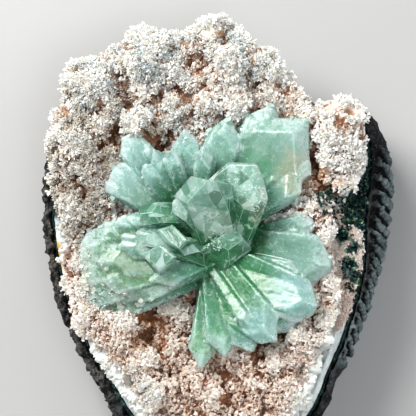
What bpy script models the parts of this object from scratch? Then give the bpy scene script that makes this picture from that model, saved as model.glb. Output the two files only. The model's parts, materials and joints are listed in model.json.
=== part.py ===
"""Half of a basalt geode, lying on its back, with a fan of green apophyllite blades.

A bowl of dark basalt holds, from the outside in, a thin teal skin of celadonite, a pale
band of chalcedony and a lumpy druse that fills the hollow. The apophyllite blades grow
out of the middle of the druse as one cluster.

Sizes below are millimetres and angles are degrees, counted from +X towards +Y as seen
from above. MM turns millimetres into metres where a mesh is made.
"""

import math
from bisect import bisect_right

import bmesh
import bpy
from mathutils import Matrix, Vector, noise
from mathutils.geometry import delaunay_2d_cdt

MM = 0.001
GAP = 0.35
MERGE = 0.00002

# Outlines as (angle, radius) about the middle of the bowl.
FOOT = [
    (5, 60.9), (20, 67.1), (33, 71.3), (43, 70.5), (53, 60.0), (64, 60.5), (75, 67.5), (91, 75.0),
    (103, 74.8), (116, 77.8), (129, 79.8), (139, 77.0), (151, 71.6), (162, 66.6), (175, 63.2),
    (190, 62.4), (210, 63.8), (222, 67.0), (232, 71.4), (241, 75.6), (250, 78.2), (260, 79.0),
    (279, 78.0), (290, 75.4), (298, 70.9), (308, 65.0), (318, 61.2), (328, 58.8), (345, 57.2),
]
BASALT_EDGE = [
    (5, 51.4), (14, 53.7), (21, 56.5), (28, 60.6), (34, 63.7), (40, 64.8), (46, 62.3), (54, 56.6),
    (64, 57.0), (72, 62.4), (81, 68.0), (91, 72.0), (102, 71.6), (112, 74.5), (121, 75.6),
    (129, 76.8), (137, 74.6), (146, 70.3), (159, 65.0), (170, 61.4), (186, 58.7), (197, 57.9),
    (214, 58.9), (227, 61.2), (237, 65.2), (245, 69.9), (253, 72.2), (269, 72.4), (285, 71.6),
    (295, 68.9), (303, 64.1), (311, 58.8), (322, 55.2), (336, 52.2), (348, 51.8),
]
DRUSE_EDGE = [
    (0, 39.2), (8, 40.6), (15, 40.5), (19, 43.0), (23, 51.0), (27, 56.6), (35, 62.6), (43, 65.6),
    (48, 64.0), (54, 57.8), (62, 59.4), (67, 63.9), (74, 69.4), (81, 71.9), (86, 76.1), (89, 78.8),
    (94, 76.1), (97, 72.8), (101, 74.3), (106, 78.2), (110, 80.4), (115, 77.6), (123, 77.2),
    (129, 81.2), (134, 78.0), (141, 72.4), (151, 68.2), (162, 62.6), (168, 58.5), (178, 54.6),
    (187, 55.2), (204, 55.6), (218, 56.6), (228, 57.8), (237, 60.9), (245, 65.3), (259, 69.3),
    (281, 68.9), (289, 67.5), (296, 64.3), (302, 60.0), (308, 55.6), (315, 52.2), (321, 48.8),
    (333, 46.4), (342, 43.5), (350, 40.4),
]

# Heights, and widths that change round the rim, as (angle, value).
RIM_HEIGHT = [(0, 36.0), (45, 36.5), (90, 33.5), (150, 31.5), (200, 30.0), (270, 28.0), (325, 33.0)]
RIM_WIDTH = [(10, 3.6), (40, 4.2), (60, 2.6), (130, 2.4), (185, 2.6), (225, 3.0), (280, 5.0), (340, 2.2)]
SEAM_WIDTH = [
    (3, 0.8), (9, 6.2), (15, 8.0), (21, 6.4), (27, 0.8), (120, 0.8), (176, 0.9), (236, 1.4),
    (300, 0.9), (340, 1.0),
]
DRUSE_SHOULDER = [
    (0, 36.5), (22, 38.5), (45, 44.0), (62, 38.0), (85, 42.5), (110, 43.0), (132, 42.5), (160, 38.0),
    (190, 35.5), (235, 34.0), (280, 32.5), (325, 34.0),
]

# The bowl.
BASE_TUCK = 8.0
LOW_WALL_TUCK = 6.5
BULGE_HEIGHT = 10.0
WALL_CURVE = 1.3
LOW_WALL_CURVE = 1.6
CORNER_DROP = 2.0
CREST_PLACE = 0.55
INNER_EDGE_DROP = 0.8
WALL_LEVELS = (4.5, 10.0, 15.0, 20.0, 25.0)
SHELF_HEIGHT = 20.0
SHELF_DROP = 0.8
FLOOR_HEIGHT = 15.0
FLOOR_INSET = 6.0
WALL_LUMPS = 2.6
WALL_LUMP_SIZE = 21.0
WALL_LUMP_SINK = 0.3
WALL_ROUGHNESS = 1.5
WALL_ROUGH_SIZE = 9.0
WALL_GRAIN_SIZE = 4.5
RIM_ROUGHNESS = 0.8
RIM_ROUGH_SIZE = 3.5

# The ribbed stretch of the right wall: saw-toothed flutes that slant as they go down.
RIB_START = -40.0
RIB_END = 30.0
RIB_COUNT = 16
RIB_PROFILE = ((0.0, -0.9), (0.35, 0.25), (0.7, 0.75))
RIB_SLANT = 0.16
RIB_FADE = 0.3
RIB_AT_RIM = 0.4
RIB_SMOOTHING = 0.8

# Lining layers.
LIP = 0.7
BAND_MIN = 1.5
SEAM_RECESS = 2.6
SEAM_SLOPE = 0.9
BAND_RECESS = 0.6
BAND_OUTER_DROP = 0.6
BAND_INNER_DROP = 1.2
BAND_CREST_PLACE = 0.55
BAND_WAVES = 0.7
BAND_WAVE_SIZE = 6.0
VUG_DEPTH = 2.2
VUG_RAISE = 0.4
VUG_TURN = 0.9
VUGS = [(43.4, 2.0, 4.6, 3.4), (46.9, -2.2, 3.0, 2.6), (45.4, -8.0, 4.6, 3.8), (47.6, -13.0, 4.4, 4.2)]

# The druse: its middle height, and the lumps and pits as (x, y, height, radius).
DRUSE_MIDDLE = 30.0
DRUSE_EDGE_RISE = 2.2
DRUSE_LIP_RISE = 1.0
DRUSE_UNDERCUT = 0.3
DRUSE_GRID = 4.0
DRUSE_GRID_JITTER = 0.22
DRUSE_KEEP_IN = 2.4
DRUSE_RIPPLE = 1.7
DRUSE_RIPPLE_SIZE = 7.5
DRUSE_FINE_RIPPLE = 0.9
DRUSE_FINE_SIZE = 3.4
DRUSE_THINNEST = 1.6
DRUSE_OVER_RIM = 3.0
BOWL_START = 0.35
BOWL_END = 0.85
EDGE_ROUND = 0.88
LUMP_SPREAD = 0.55
PIT_SPREAD = 0.6
PIT_FLOOR = 23.0
LUMPS = [
    (-22.4, 66.5, 4.0, 9.0), (-48.0, 56.0, 4.0, 6.5), (-36.0, 62.5, 2.0, 7.0), (-44.0, 49.0, 2.5, 10.0),
    (-27.5, 43.0, 7.0, 5.5), (-13.5, 43.0, 6.0, 6.0), (-2.5, 47.0, 6.5, 6.5), (6.0, 47.0, 5.5, 6.0),
    (0.5, 73.5, 4.0, 7.0), (6.0, 61.5, 6.0, 8.5), (16.5, 65.0, 4.0, 7.0), (22.0, 57.5, 4.0, 6.0),
    (31.0, 44.0, 2.0, 6.0), (44.5, 37.0, 3.0, 9.0), (49.0, 29.0, 2.5, 9.0), (-48.0, 32.0, 3.0, 7.0),
    (-42.0, 21.0, 2.5, 7.0), (-52.0, 12.0, 2.0, 6.0), (-42.0, -23.0, 3.5, 7.5), (-33.0, -29.0, 3.0, 7.0),
    (-37.0, -38.0, 2.5, 6.5), (-27.0, -52.0, 3.0, 7.5), (-12.0, -66.0, 2.5, 8.0), (-14.5, -26.0, 2.0, 6.0),
    (12.5, -46.0, 3.0, 7.0), (29.0, -34.0, 2.5, 6.0), (26.0, -50.0, 2.0, 8.0), (9.0, -62.0, 2.0, 8.0),
]
PITS = [
    (-20.5, 50.0, 7.5, 4.2), (-22.0, 55.5, 5.0, 4.0), (-34.0, 57.5, 4.5, 3.6), (-42.5, 47.5, 5.0, 3.2),
    (-45.5, 39.0, 5.0, 3.6), (-34.0, 39.0, 4.5, 3.6), (-15.5, 64.5, 4.5, 3.6), (-9.0, 54.0, 4.5, 4.5),
    (24.0, 53.5, 6.0, 3.6), (15.0, 48.5, 5.0, 3.6), (26.0, 43.5, 5.5, 4.2), (33.0, 25.0, 8.5, 5.0),
    (-23.5, -23.5, 5.5, 3.6), (-24.5, -33.0, 6.0, 4.2), (-18.0, -44.5, 5.0, 5.0), (-8.8, -21.0, 5.0, 3.6),
    (-30.5, -38.0, 4.5, 3.6), (36.5, -19.0, 4.5, 4.0), (-53.5, -8.0, 3.5, 4.0), (34.5, -6.0, 4.0, 4.0),
]

# Apophyllite blades: root, tip, width, thickness, roll about the length, taper of the sides
# towards the root, half the angle of the point, and how much of the tip is cut off square.
BLADES = [
    ("upper_left_1", (-14, 12, 31), (-32.5, 38.3, 44), 10.5, 5.5, 18, 3, 42, 2.0),
    ("upper_left_2", (-10, 6, 30), (-38.0, 27.2, 42), 14.5, 6.5, 14, 4, 46, 3.0),
    ("upper_left_3", (-12, 12, 34), (-21.0, 31.5, 48), 5.5, 5.0, 30, 2, 40, 0.0),
    ("upper_left_4", (-14, 12, 34), (-24.4, 26.6, 47), 6.0, 5.0, -20, 2, 48, 0.8),
    ("upper_1", (-9, 8, 31), (-10.3, 38.6, 46), 9.6, 6.5, -12, 2, 40, 0.0),
    ("upper_2", (-10, 12, 35), (-15.8, 31.2, 48), 6.0, 5.0, 20, 2, 46, 0.8),
    ("upper_3", (-4, 10, 34), (-3.6, 32.6, 47), 6.5, 5.5, -15, 2, 38, 0.0),
    ("upper_4", (-5, 6, 31), (5.2, 43.6, 45), 12.5, 6.5, -8, 3, 38, 2.0),
    ("upper_right_1", (0, 6, 31), (20.6, 47.8, 43), 14.5, 6.5, 8, 3, 42, 0.0),
    ("upper_right_2", (-3, 8, 32), (32.6, 41.4, 46), 26.0, 7.5, -5, 6, 45, 0.0),
    ("upper_right_3", (6, 8, 34), (30.5, 24.0, 43), 13.0, 6.0, -20, 4, 54, 1.0),
    ("crown_1", (5.5, -2, 30), (-3.6, 18.4, 60), 17.0, 16.0, 28, 0, 46, 0.0),
    ("crown_2", (6, -4, 32), (10.6, 26.4, 53), 22.0, 11.0, -16, 2, 54, 4.6),
    ("crown_3", (-2, 18, 37), (6.2, -10.6, 49), 17.0, 9.0, 24, 2, 46, 1.6),
    ("crown_4", (1, -2, 30), (-13.5, 13.0, 54), 6.5, 6.0, 20, 0, 50, 0.8),
    ("left_1", (2, -1, 31), (-52.5, -9.6, 41), 28.0, 8.0, 8, 2, 44, 5.0),
    ("left_2", (0, -6, 30), (-44.0, -21.0, 38), 16.0, 7.0, -14, 3, 46, 2.4),
    ("left_3", (-4, 9, 38), (-25.5, 6.0, 49), 6.5, 5.5, 35, 0, 52, 1.2),
    ("left_4", (-2, 3, 38), (-24.0, 0.6, 48), 7.5, 6.0, 24, 0, 50, 1.2),
    ("left_5", (0, 1, 38), (-25.6, -5.4, 50), 11.5, 7.5, 45, 0, 44, 0.0),
    ("left_6", (2, -3, 34), (-22.5, -13.8, 43), 11.0, 6.0, 20, 3, 44, 0.0),
    ("lower_right_1", (-5, -1, 33), (35.8, -25.2, 42), 16.5, 6.5, -10, 5, 44, 2.6),
    ("lower_right_2", (-4, -1, 33), (21.0, -35.2, 42), 13.5, 6.5, 12, 4, 40, 1.0),
    ("lower_right_3", (2, -4, 31), (27.2, -31.4, 37), 12.0, 5.5, -5, 4, 48, 1.6),
    ("lower_1", (-2, -3, 31), (-5.5, -44.0, 38), 9.0, 5.5, -14, 2, 34, 0.0),
    ("lower_2", (-3, -2, 32), (3.0, -40.0, 40), 11.0, 5.5, 10, 3, 40, 0.0),
    ("lower_3", (-3, -2, 31), (12.6, -38.6, 39), 10.5, 5.5, -6, 3, 44, 1.2),
    ("right_1", (-5, 2, 31), (41.6, -9.4, 41), 18.5, 6.5, -6, 5, 46, 2.6),
    ("right_2", (8, 2, 31), (34.8, 6.0, 41), 7.5, 5.5, 15, 1, 48, 1.4),
]
WIDEST_PLACE = 0.55
BROAD_FACE_LEAN = 0.35
FACE_SLOPE = 46.0
CRYSTAL_BLOCK = 300.0
HUB = ("hub", (-1, 1, 21), (-1, 3, 46), 22.0, 20.0, 20, 0, 50, 2.0)

COLOURS = {
    "basalt_matrix": ((0.055, 0.058, 0.062), 0.85),
    "celadonite_seam": ((0.030, 0.125, 0.115), 0.70),
    "chalcedony_lining": ((0.620, 0.690, 0.680), 0.40),
    "druse_crust": ((0.780, 0.640, 0.550), 0.60),
    "apophyllite_cluster": ((0.400, 0.720, 0.560), 0.15),
}


def round_curve(points):
    """The smooth closed curve through (angle, value) points, as a function of the angle."""
    angles = [angle for angle, _ in points]
    values = [value for _, value in points]
    count = len(points)

    def span(i):
        return (angles[(i + 1) % count] - angles[i]) % 360

    def secant(i):
        return (values[(i + 1) % count] - values[i]) / span(i)

    def slope(i):
        before, after = secant((i - 1) % count), secant(i)
        return 0.0 if before * after <= 0 else 2 * before * after / (before + after)

    slopes = [slope(i) for i in range(count)]

    def value_at(angle):
        i = (bisect_right(angles, angle % 360) - 1) % count
        width = span(i)
        t = ((angle - angles[i]) % 360) / width
        start, end = values[i], values[(i + 1) % count]
        lean_in, lean_out = slopes[i] * width, slopes[(i + 1) % count] * width
        return ((2 * t**3 - 3 * t**2 + 1) * start + (t**3 - 2 * t**2 + t) * lean_in
                + (3 * t**2 - 2 * t**3) * end + (t**3 - t**2) * lean_out)

    return value_at


foot_radius = round_curve(FOOT)
edge_radius = round_curve(BASALT_EDGE)
druse_radius = round_curve(DRUSE_EDGE)
rim_height = round_curve(RIM_HEIGHT)
rim_width = round_curve(RIM_WIDTH)
seam_width = round_curve(SEAM_WIDTH)
shoulder_height = round_curve(DRUSE_SHOULDER)


def seam_inner(angle):
    return edge_radius(angle) - GAP - seam_width(angle)


def band_outer(angle):
    return seam_inner(angle) - GAP


def band_inner(angle):
    return min(druse_radius(angle) - LIP, band_outer(angle) - BAND_MIN)


def make_stations():
    """Angles that every ring shares, each with the relief of the ribs there."""
    pitch = (RIB_END - RIB_START) / RIB_COUNT
    ribs = [(RIB_START + (k + phase) * pitch, relief)
            for k in range(RIB_COUNT) for phase, relief in RIB_PROFILE]
    stretches = [(RIB_END, 66, 8), (66, 150, 28), (150, 360 + RIB_START, 34)]
    plain = [(start + (end - start) * k / steps, 0.0)
             for start, end, steps in stretches for k in range(steps)]
    return ribs + plain


STATIONS = make_stations()


def polar(angle, radius, height):
    turn = math.radians(angle)
    return Vector((radius * math.cos(turn), radius * math.sin(turn), height))


def ring(radius, height):
    """One closed row of points; radius and height are functions of the angle."""
    return [polar(angle, radius(angle), height(angle)) for angle, _ in STATIONS]


def rough(point, size, seed):
    """Smooth noise between about -1 and 1, with bumps of the given size."""
    return noise.noise(point / size + Vector((seed, -seed, 2 * seed)))


def rib_strength(angle):
    """How fully the ribs stand out: 1 along their stretch, 0 at its ends and elsewhere."""
    if not RIB_START < angle < RIB_END:
        return 0.0
    along = (angle - RIB_START) / (RIB_END - RIB_START)
    return math.sin(math.pi * along) ** RIB_FADE


def wall_radius(angle, level):
    """The smooth outer wall: tucked in below the bulge, leaning in above it."""
    foot = foot_radius(angle)
    if level < BULGE_HEIGHT:
        return foot - LOW_WALL_TUCK * (1 - level / BULGE_HEIGHT) ** LOW_WALL_CURVE
    climb = (level - BULGE_HEIGHT) / (rim_height(angle) - CORNER_DROP - BULGE_HEIGHT)
    rim = edge_radius(angle) + rim_width(angle)
    return foot + (rim - foot) * climb**WALL_CURVE


def wall_lumps(point):
    broad = rough(point, WALL_LUMP_SIZE, 6) - WALL_LUMP_SINK
    fine = rough(point, WALL_ROUGH_SIZE, 3) + 0.6 * rough(point, WALL_GRAIN_SIZE, 8)
    return WALL_LUMPS * broad + WALL_ROUGHNESS * fine


def wall_ring(level):
    """A row of the outer wall, with its lumps and, on the right, its slanting ribs."""
    points = []
    for angle, relief in STATIONS:
        ribbed = rib_strength(angle)
        leaned = angle + RIB_SLANT * (level - BULGE_HEIGHT) * ribbed
        radius = wall_radius(leaned, level)
        lumps = wall_lumps(polar(leaned, radius, level))
        radius += relief * ribbed + lumps * (1 - RIB_SMOOTHING * ribbed)
        points.append(polar(leaned, radius, level))
    return points


def rim_rings():
    """The broken top of the basalt: its outer corner, its crest and its inner edge."""
    outer, crest, inner = [], [], []
    for angle, relief in STATIONS:
        height = rim_height(angle)
        edge = edge_radius(angle)
        width = rim_width(angle)
        chip = RIM_ROUGHNESS * rough(polar(angle, edge, height), RIM_ROUGH_SIZE, 5)
        reach = edge + width + RIB_AT_RIM * relief + chip
        outer.append(polar(angle, reach, height - CORNER_DROP + chip))
        crest.append(polar(angle, edge + CREST_PLACE * width, height + chip))
        inner.append(polar(angle, edge, height - INNER_EDGE_DROP))
    return [outer, crest, inner]


def loft(name, rings, capped):
    """A closed solid through rows of points: capped at both ends, or joined round to itself."""
    mesh = bpy.data.meshes.new(name)
    bm = bmesh.new()
    rows = [[bm.verts.new(point * MM) for point in row] for row in rings]
    pairs = list(zip(rows, rows[1:]))
    if not capped:
        pairs.append((rows[-1], rows[0]))
    for lower, upper in pairs:
        for i in range(len(lower)):
            j = (i + 1) % len(lower)
            bm.faces.new((lower[i], lower[j], upper[j], upper[i]))
    if capped:
        bm.faces.new(rows[0][::-1])
        bm.faces.new(rows[-1])
    bmesh.ops.recalc_face_normals(bm, faces=bm.faces)
    bm.to_mesh(mesh)
    bm.free()
    return bpy.data.objects.new(name, mesh)


def make_basalt():
    rings = [ring(lambda a: foot_radius(a) - BASE_TUCK, lambda a: 0.0)]
    rings += [wall_ring(level) for level in WALL_LEVELS]
    rings += rim_rings()
    rings += [
        ring(edge_radius, lambda a: SHELF_HEIGHT),
        ring(band_inner, lambda a: SHELF_HEIGHT - SHELF_DROP),
        ring(lambda a: band_inner(a) - FLOOR_INSET, lambda a: FLOOR_HEIGHT),
    ]
    return loft("basalt_matrix", rings, capped=True)


def make_seam():
    """The teal skin stands on the bowl's shelf and ends a little below the rim."""
    bottom = SHELF_HEIGHT + GAP
    rings = [
        ring(lambda a: edge_radius(a) - GAP, lambda a: bottom),
        ring(lambda a: edge_radius(a) - GAP, lambda a: rim_height(a) - SEAM_RECESS),
        ring(seam_inner, lambda a: rim_height(a) - SEAM_RECESS + SEAM_SLOPE),
        ring(seam_inner, lambda a: bottom),
    ]
    return loft("celadonite_seam", rings, capped=False)


def make_band():
    """The chalcedony band, with four vugs sunk into its wide stretch."""
    bottom = SHELF_HEIGHT + GAP

    def middle(angle):
        inner = band_inner(angle)
        return inner + BAND_CREST_PLACE * (band_outer(angle) - inner)

    def top(angle):
        return rim_height(angle) - BAND_RECESS

    def crown(angle):
        return top(angle) + BAND_WAVES * rough(polar(angle, 50, 0), BAND_WAVE_SIZE, 4)

    rings = [
        ring(band_outer, lambda a: bottom),
        ring(band_outer, lambda a: top(a) - BAND_OUTER_DROP),
        ring(middle, crown),
        ring(band_inner, lambda a: top(a) - BAND_INNER_DROP),
        ring(band_inner, lambda a: bottom),
    ]
    return loft("chalcedony_lining", rings, capped=False)


def make_vug(x, y, length, width):
    """A hollow dug by an egg-shaped cutter that lies in the top of the band."""
    bm = bmesh.new()
    bmesh.ops.create_icosphere(bm, subdivisions=2, radius=0.5)
    turn = math.atan2(y, x)
    height = rim_height(math.degrees(turn)) - BAND_RECESS + VUG_RAISE
    place = Matrix.Translation(Vector((x, y, height)) * MM)
    spin = Matrix.Rotation(VUG_TURN, 4, "Z")
    size = Matrix.Diagonal((length * MM, width * MM, 2 * VUG_DEPTH * MM, 1.0))
    bmesh.ops.transform(bm, matrix=place @ spin @ size, verts=bm.verts)
    mesh = bpy.data.meshes.new("vug")
    bm.to_mesh(mesh)
    bm.free()
    return bpy.data.objects.new("vug", mesh)


def druse_lip(angle):
    return rim_height(angle) + DRUSE_LIP_RISE


def mound(x, y, middle_x, middle_y, spread):
    """1 over the middle of a lump or pit, falling smoothly to 0 around it."""
    return math.exp(-((x - middle_x) ** 2 + (y - middle_y) ** 2) / spread)


def druse_relief(x, y):
    """Lumps, pits and ripples, as a height above or below the shallow bowl."""
    point = Vector((x, y, 0.0))
    height = DRUSE_RIPPLE * rough(point, DRUSE_RIPPLE_SIZE, 11)
    height += DRUSE_FINE_RIPPLE * rough(point, DRUSE_FINE_SIZE, 17)
    for lump_x, lump_y, rise, size in LUMPS:
        height += rise * mound(x, y, lump_x, lump_y, LUMP_SPREAD * size**2)
    for pit_x, pit_y, drop, size in PITS:
        height -= drop * mound(x, y, pit_x, pit_y, PIT_SPREAD * size**2)
    return height


def druse_top(x, y):
    """The height of the druse: a shallow bowl with relief, rounded off at its edge."""
    angle = math.degrees(math.atan2(y, x))
    distance = math.hypot(x, y)
    reach = min(1.0, distance / druse_radius(angle))
    climb = min(1.0, max(0.0, (reach - BOWL_START) / (BOWL_END - BOWL_START)))
    climb = climb * climb * (3 - 2 * climb)
    height = DRUSE_MIDDLE + (shoulder_height(angle) - DRUSE_MIDDLE) * climb
    height += druse_relief(x, y)
    over_rim = distance > band_inner(angle) - DRUSE_OVER_RIM
    height = max(height, druse_lip(angle) + DRUSE_THINNEST if over_rim else PIT_FLOOR)
    edge = druse_lip(angle) + DRUSE_EDGE_RISE
    fall = max(0.0, (reach - EDGE_ROUND) / (1 - EDGE_ROUND))
    return edge + (height - edge) * math.sqrt(max(0.0, 1 - fall**2))


def make_druse():
    """The crust: a plug that fits the lined bowl, with a lumpy top that laps over the rim."""

    def lip_radius(angle):
        inner, outer = band_inner(angle), druse_radius(angle)
        return outer - DRUSE_UNDERCUT * (outer - inner)

    sides = [
        ring(lambda a: band_inner(a) - FLOOR_INSET - GAP, lambda a: FLOOR_HEIGHT + GAP),
        ring(lambda a: band_inner(a) - GAP, lambda a: SHELF_HEIGHT - SHELF_DROP + 1.5 * GAP),
        ring(lambda a: band_inner(a) - GAP, lambda a: druse_lip(a) - GAP),
        ring(lip_radius, druse_lip),
        ring(druse_radius, lambda a: druse_lip(a) + DRUSE_EDGE_RISE),
    ]
    druse = loft("druse_crust", sides, capped=True)
    bm = bmesh.new()
    bm.from_mesh(druse.data)
    lid = max(bm.faces, key=lambda face: face.calc_center_median().z if len(face.verts) > 4 else -1)
    bmesh.ops.delete(bm, geom=[lid], context="FACES_ONLY")
    fill_lumpy_top(bm, sides[-1])
    bmesh.ops.recalc_face_normals(bm, faces=bm.faces)
    bm.to_mesh(druse.data)
    bm.free()
    return druse


def net_points():
    """An even, slightly shaken triangle grid inside the druse's edge."""
    row_step = DRUSE_GRID * math.sqrt(3) / 2
    reach = max(radius for _, radius in DRUSE_EDGE)
    rows = int(reach / row_step)
    columns = int(reach / DRUSE_GRID) + 1
    points = []
    for row in range(-rows, rows + 1):
        for column in range(-columns, columns + 1):
            spot = Vector(((column + 0.5 * (row % 2)) * DRUSE_GRID, row * row_step, 0.0))
            spot += DRUSE_GRID_JITTER * DRUSE_GRID * noise.noise_vector(0.71 * spot)
            angle = math.degrees(math.atan2(spot.y, spot.x))
            if spot.xy.length < druse_radius(angle) - DRUSE_KEEP_IN:
                points.append(spot.to_2d())
    return points


def fill_lumpy_top(bm, edge_points):
    """Close the open top with a triangle net whose inner points follow the druse's height."""
    bm.verts.ensure_lookup_table()
    border = bm.verts[len(bm.verts) - len(edge_points):]
    flat = [point.to_2d() for point in edge_points] + net_points()
    count = len(edge_points)
    loop = [(i, (i + 1) % count) for i in range(count)]
    net, _, triangles, origins, _, _ = delaunay_2d_cdt(flat, loop, [], 1, 1e-4)
    corners = []
    for spot, origin in zip(net, origins):
        if origin and origin[0] < count:
            corners.append(border[origin[0]])
        else:
            corners.append(bm.verts.new(Vector((spot.x, spot.y, druse_top(spot.x, spot.y))) * MM))
    for triangle in triangles:
        bm.faces.new([corners[i] for i in triangle])


def blade_planes(root, tip, width, thickness, roll, taper, point, cut, grow):
    """Flat faces of one crystal, as (point, outward normal) pairs.

    Two broad faces and two narrow ones close in towards the root, four sloping faces
    meet at the tip, and the end face cuts the tip square.
    """
    root, tip = Vector(root), Vector(tip)
    length = (tip - root).length
    along = (tip - root).normalized()
    upward = Vector((0, 0, 1)) - along * along.z
    facing = Matrix.Rotation(math.radians(roll), 3, along) @ upward.normalized()
    across = along.cross(facing)
    widest = root + along * (length - WIDEST_PLACE * width)
    lean = math.tan(math.radians(taper))
    planes = []
    for side in (-1, 1):
        normal = (side * across - lean * along).normalized()
        planes.append((widest + side * across * (width / 2), normal))
        normal = (side * facing - BROAD_FACE_LEAN * lean * along).normalized()
        planes.append((widest + side * facing * (thickness / 2), normal))
    sharpness = math.radians(point)
    steepness = math.sin(sharpness) / math.tan(math.radians(FACE_SLOPE))
    for side in (-1, 1):
        for face in (-1, 1):
            normal = (side * math.cos(sharpness) * across + face * steepness * facing
                      + math.sin(sharpness) * along)
            planes.append((tip, normal.normalized()))
    planes.append((tip - along * cut, along))
    planes.append((root, -along))
    return [(place + normal * grow, normal) for place, normal in planes]


def make_crystal(name, planes):
    """The convex solid inside a set of planes, cut from a block."""
    bm = bmesh.new()
    bmesh.ops.create_cube(bm, size=CRYSTAL_BLOCK)
    for point, normal in planes:
        everything = bm.verts[:] + bm.edges[:] + bm.faces[:]
        bmesh.ops.bisect_plane(bm, geom=everything, dist=1e-5, plane_co=point, plane_no=normal,
                               clear_outer=True)
        open_edges = [edge for edge in bm.edges if edge.is_boundary]
        if open_edges:
            bmesh.ops.contextual_create(bm, geom=open_edges)
    bmesh.ops.dissolve_limit(bm, angle_limit=0.002, verts=bm.verts, edges=bm.edges)
    bmesh.ops.recalc_face_normals(bm, faces=bm.faces)
    bmesh.ops.scale(bm, vec=(MM, MM, MM), verts=bm.verts)
    mesh = bpy.data.meshes.new(name)
    bm.to_mesh(mesh)
    bm.free()
    return bpy.data.objects.new(name, mesh)


def put_aside(obj, tools):
    """Keep a cutting or joining shape out of the model."""
    tools.objects.link(obj)
    obj.hide_render = True
    obj.display_type = "WIRE"


def combine(obj, operation, tools):
    """Join every shape of a collection to the object, or cut them away, for good."""
    modifier = obj.modifiers.new(operation.lower(), "BOOLEAN")
    modifier.operation = operation
    modifier.solver = "EXACT"
    modifier.operand_type = "COLLECTION"
    modifier.collection = tools
    view = bpy.context.evaluated_depsgraph_get()
    finished = bpy.data.meshes.new_from_object(obj.evaluated_get(view))
    obj.modifiers.clear()
    obj.data = finished


def clean(obj):
    """Merge points that lie together and keep only the largest body."""
    bm = bmesh.new()
    bm.from_mesh(obj.data)
    bmesh.ops.remove_doubles(bm, verts=bm.verts, dist=MERGE)
    bmesh.ops.dissolve_degenerate(bm, dist=MERGE, edges=bm.edges)
    bodies = []
    waiting = set(bm.faces)
    while waiting:
        body, front = [], [waiting.pop()]
        while front:
            face = front.pop()
            body.append(face)
            shared = [edge for edge in face.edges if len(edge.link_faces) == 2]
            near = {other for edge in shared for other in edge.link_faces} & waiting
            waiting -= near
            front.extend(near)
        bodies.append(body)
    bodies.sort(key=len)
    for body in bodies[:-1]:
        bmesh.ops.delete(bm, geom=body, context="FACES")
    bm.to_mesh(obj.data)
    bm.free()


def give_material(obj):
    colour, roughness = COLOURS[obj.name]
    material = bpy.data.materials.new(obj.name)
    material.use_nodes = True
    shader = material.node_tree.nodes["Principled BSDF"]
    shader.inputs["Base Color"].default_value = (*colour, 1.0)
    shader.inputs["Roughness"].default_value = roughness
    shader.inputs["Metallic"].default_value = 0.0
    obj.data.materials.clear()
    obj.data.materials.append(material)


def stand_on_origin(objects):
    """Shift every mesh so that the middle of the underside of the whole is the origin."""
    corners = [vert.co for obj in objects for vert in obj.data.vertices]
    low = Vector(min(co[axis] for co in corners) for axis in range(3))
    high = Vector(max(co[axis] for co in corners) for axis in range(3))
    shift = Vector((-(low.x + high.x) / 2, -(low.y + high.y) / 2, -low.z))
    for obj in objects:
        obj.data.transform(Matrix.Translation(shift))
    print("moved by", [round(value / MM, 3) for value in shift], "mm")
    print("size", [round(value / MM, 2) for value in high - low], "mm")


def grow_cluster(hub, joiners):
    """All blades grow together: each one is joined to the hub crystal."""
    for name, *numbers in BLADES:
        put_aside(make_crystal(name, blade_planes(*numbers, 0.0)), joiners)
    combine(hub, "UNION", joiners)
    clean(hub)


def seat_cluster(druse, sockets):
    """Cut the cluster's socket out of the druse, a gap wider than the blades."""
    for name, *numbers in [HUB] + BLADES:
        put_aside(make_crystal(name + "_socket", blade_planes(*numbers, GAP)), sockets)
    combine(druse, "DIFFERENCE", sockets)
    clean(druse)


def sink_vugs(band, cutters):
    for vug in VUGS:
        put_aside(make_vug(*vug), cutters)
    combine(band, "DIFFERENCE", cutters)
    clean(band)


def new_collection(name):
    collection = bpy.data.collections.new(name)
    bpy.context.scene.collection.children.link(collection)
    return collection


def build():
    for obj in list(bpy.data.objects):
        bpy.data.objects.remove(obj)
    specimen = new_collection("apophyllite_in_geode")
    vugs, joiners, sockets = (new_collection(name) for name in ("vugs", "joiners", "sockets"))

    band, druse = make_band(), make_druse()
    cluster = make_crystal("apophyllite_cluster", blade_planes(*HUB[1:], 0.0))
    pieces = [make_basalt(), make_seam(), band, druse, cluster]
    for piece in pieces:
        specimen.objects.link(piece)
    sink_vugs(band, vugs)
    grow_cluster(cluster, joiners)
    seat_cluster(druse, sockets)
    for piece in pieces:
        give_material(piece)
        piece.data.shade_flat()
    stand_on_origin(pieces)


build()
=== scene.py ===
# %% [markdown]
# # A geode with apophyllite
#
# This lesson dresses half of a basalt geode: a dark bowl of rock, a teal skin, a pale band of
# chalcedony, a crust of tiny crystals and a fan of green apophyllite blades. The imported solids
# give every piece its place and size. Here they get the fine shape and the finish that a camera
# sees. Numbers that end in "mm" in the text are millimetres, and MM turns them into metres.

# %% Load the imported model
import json
import math
import random

import bpy
import numpy as np
from mathutils import Matrix, Vector

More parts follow.
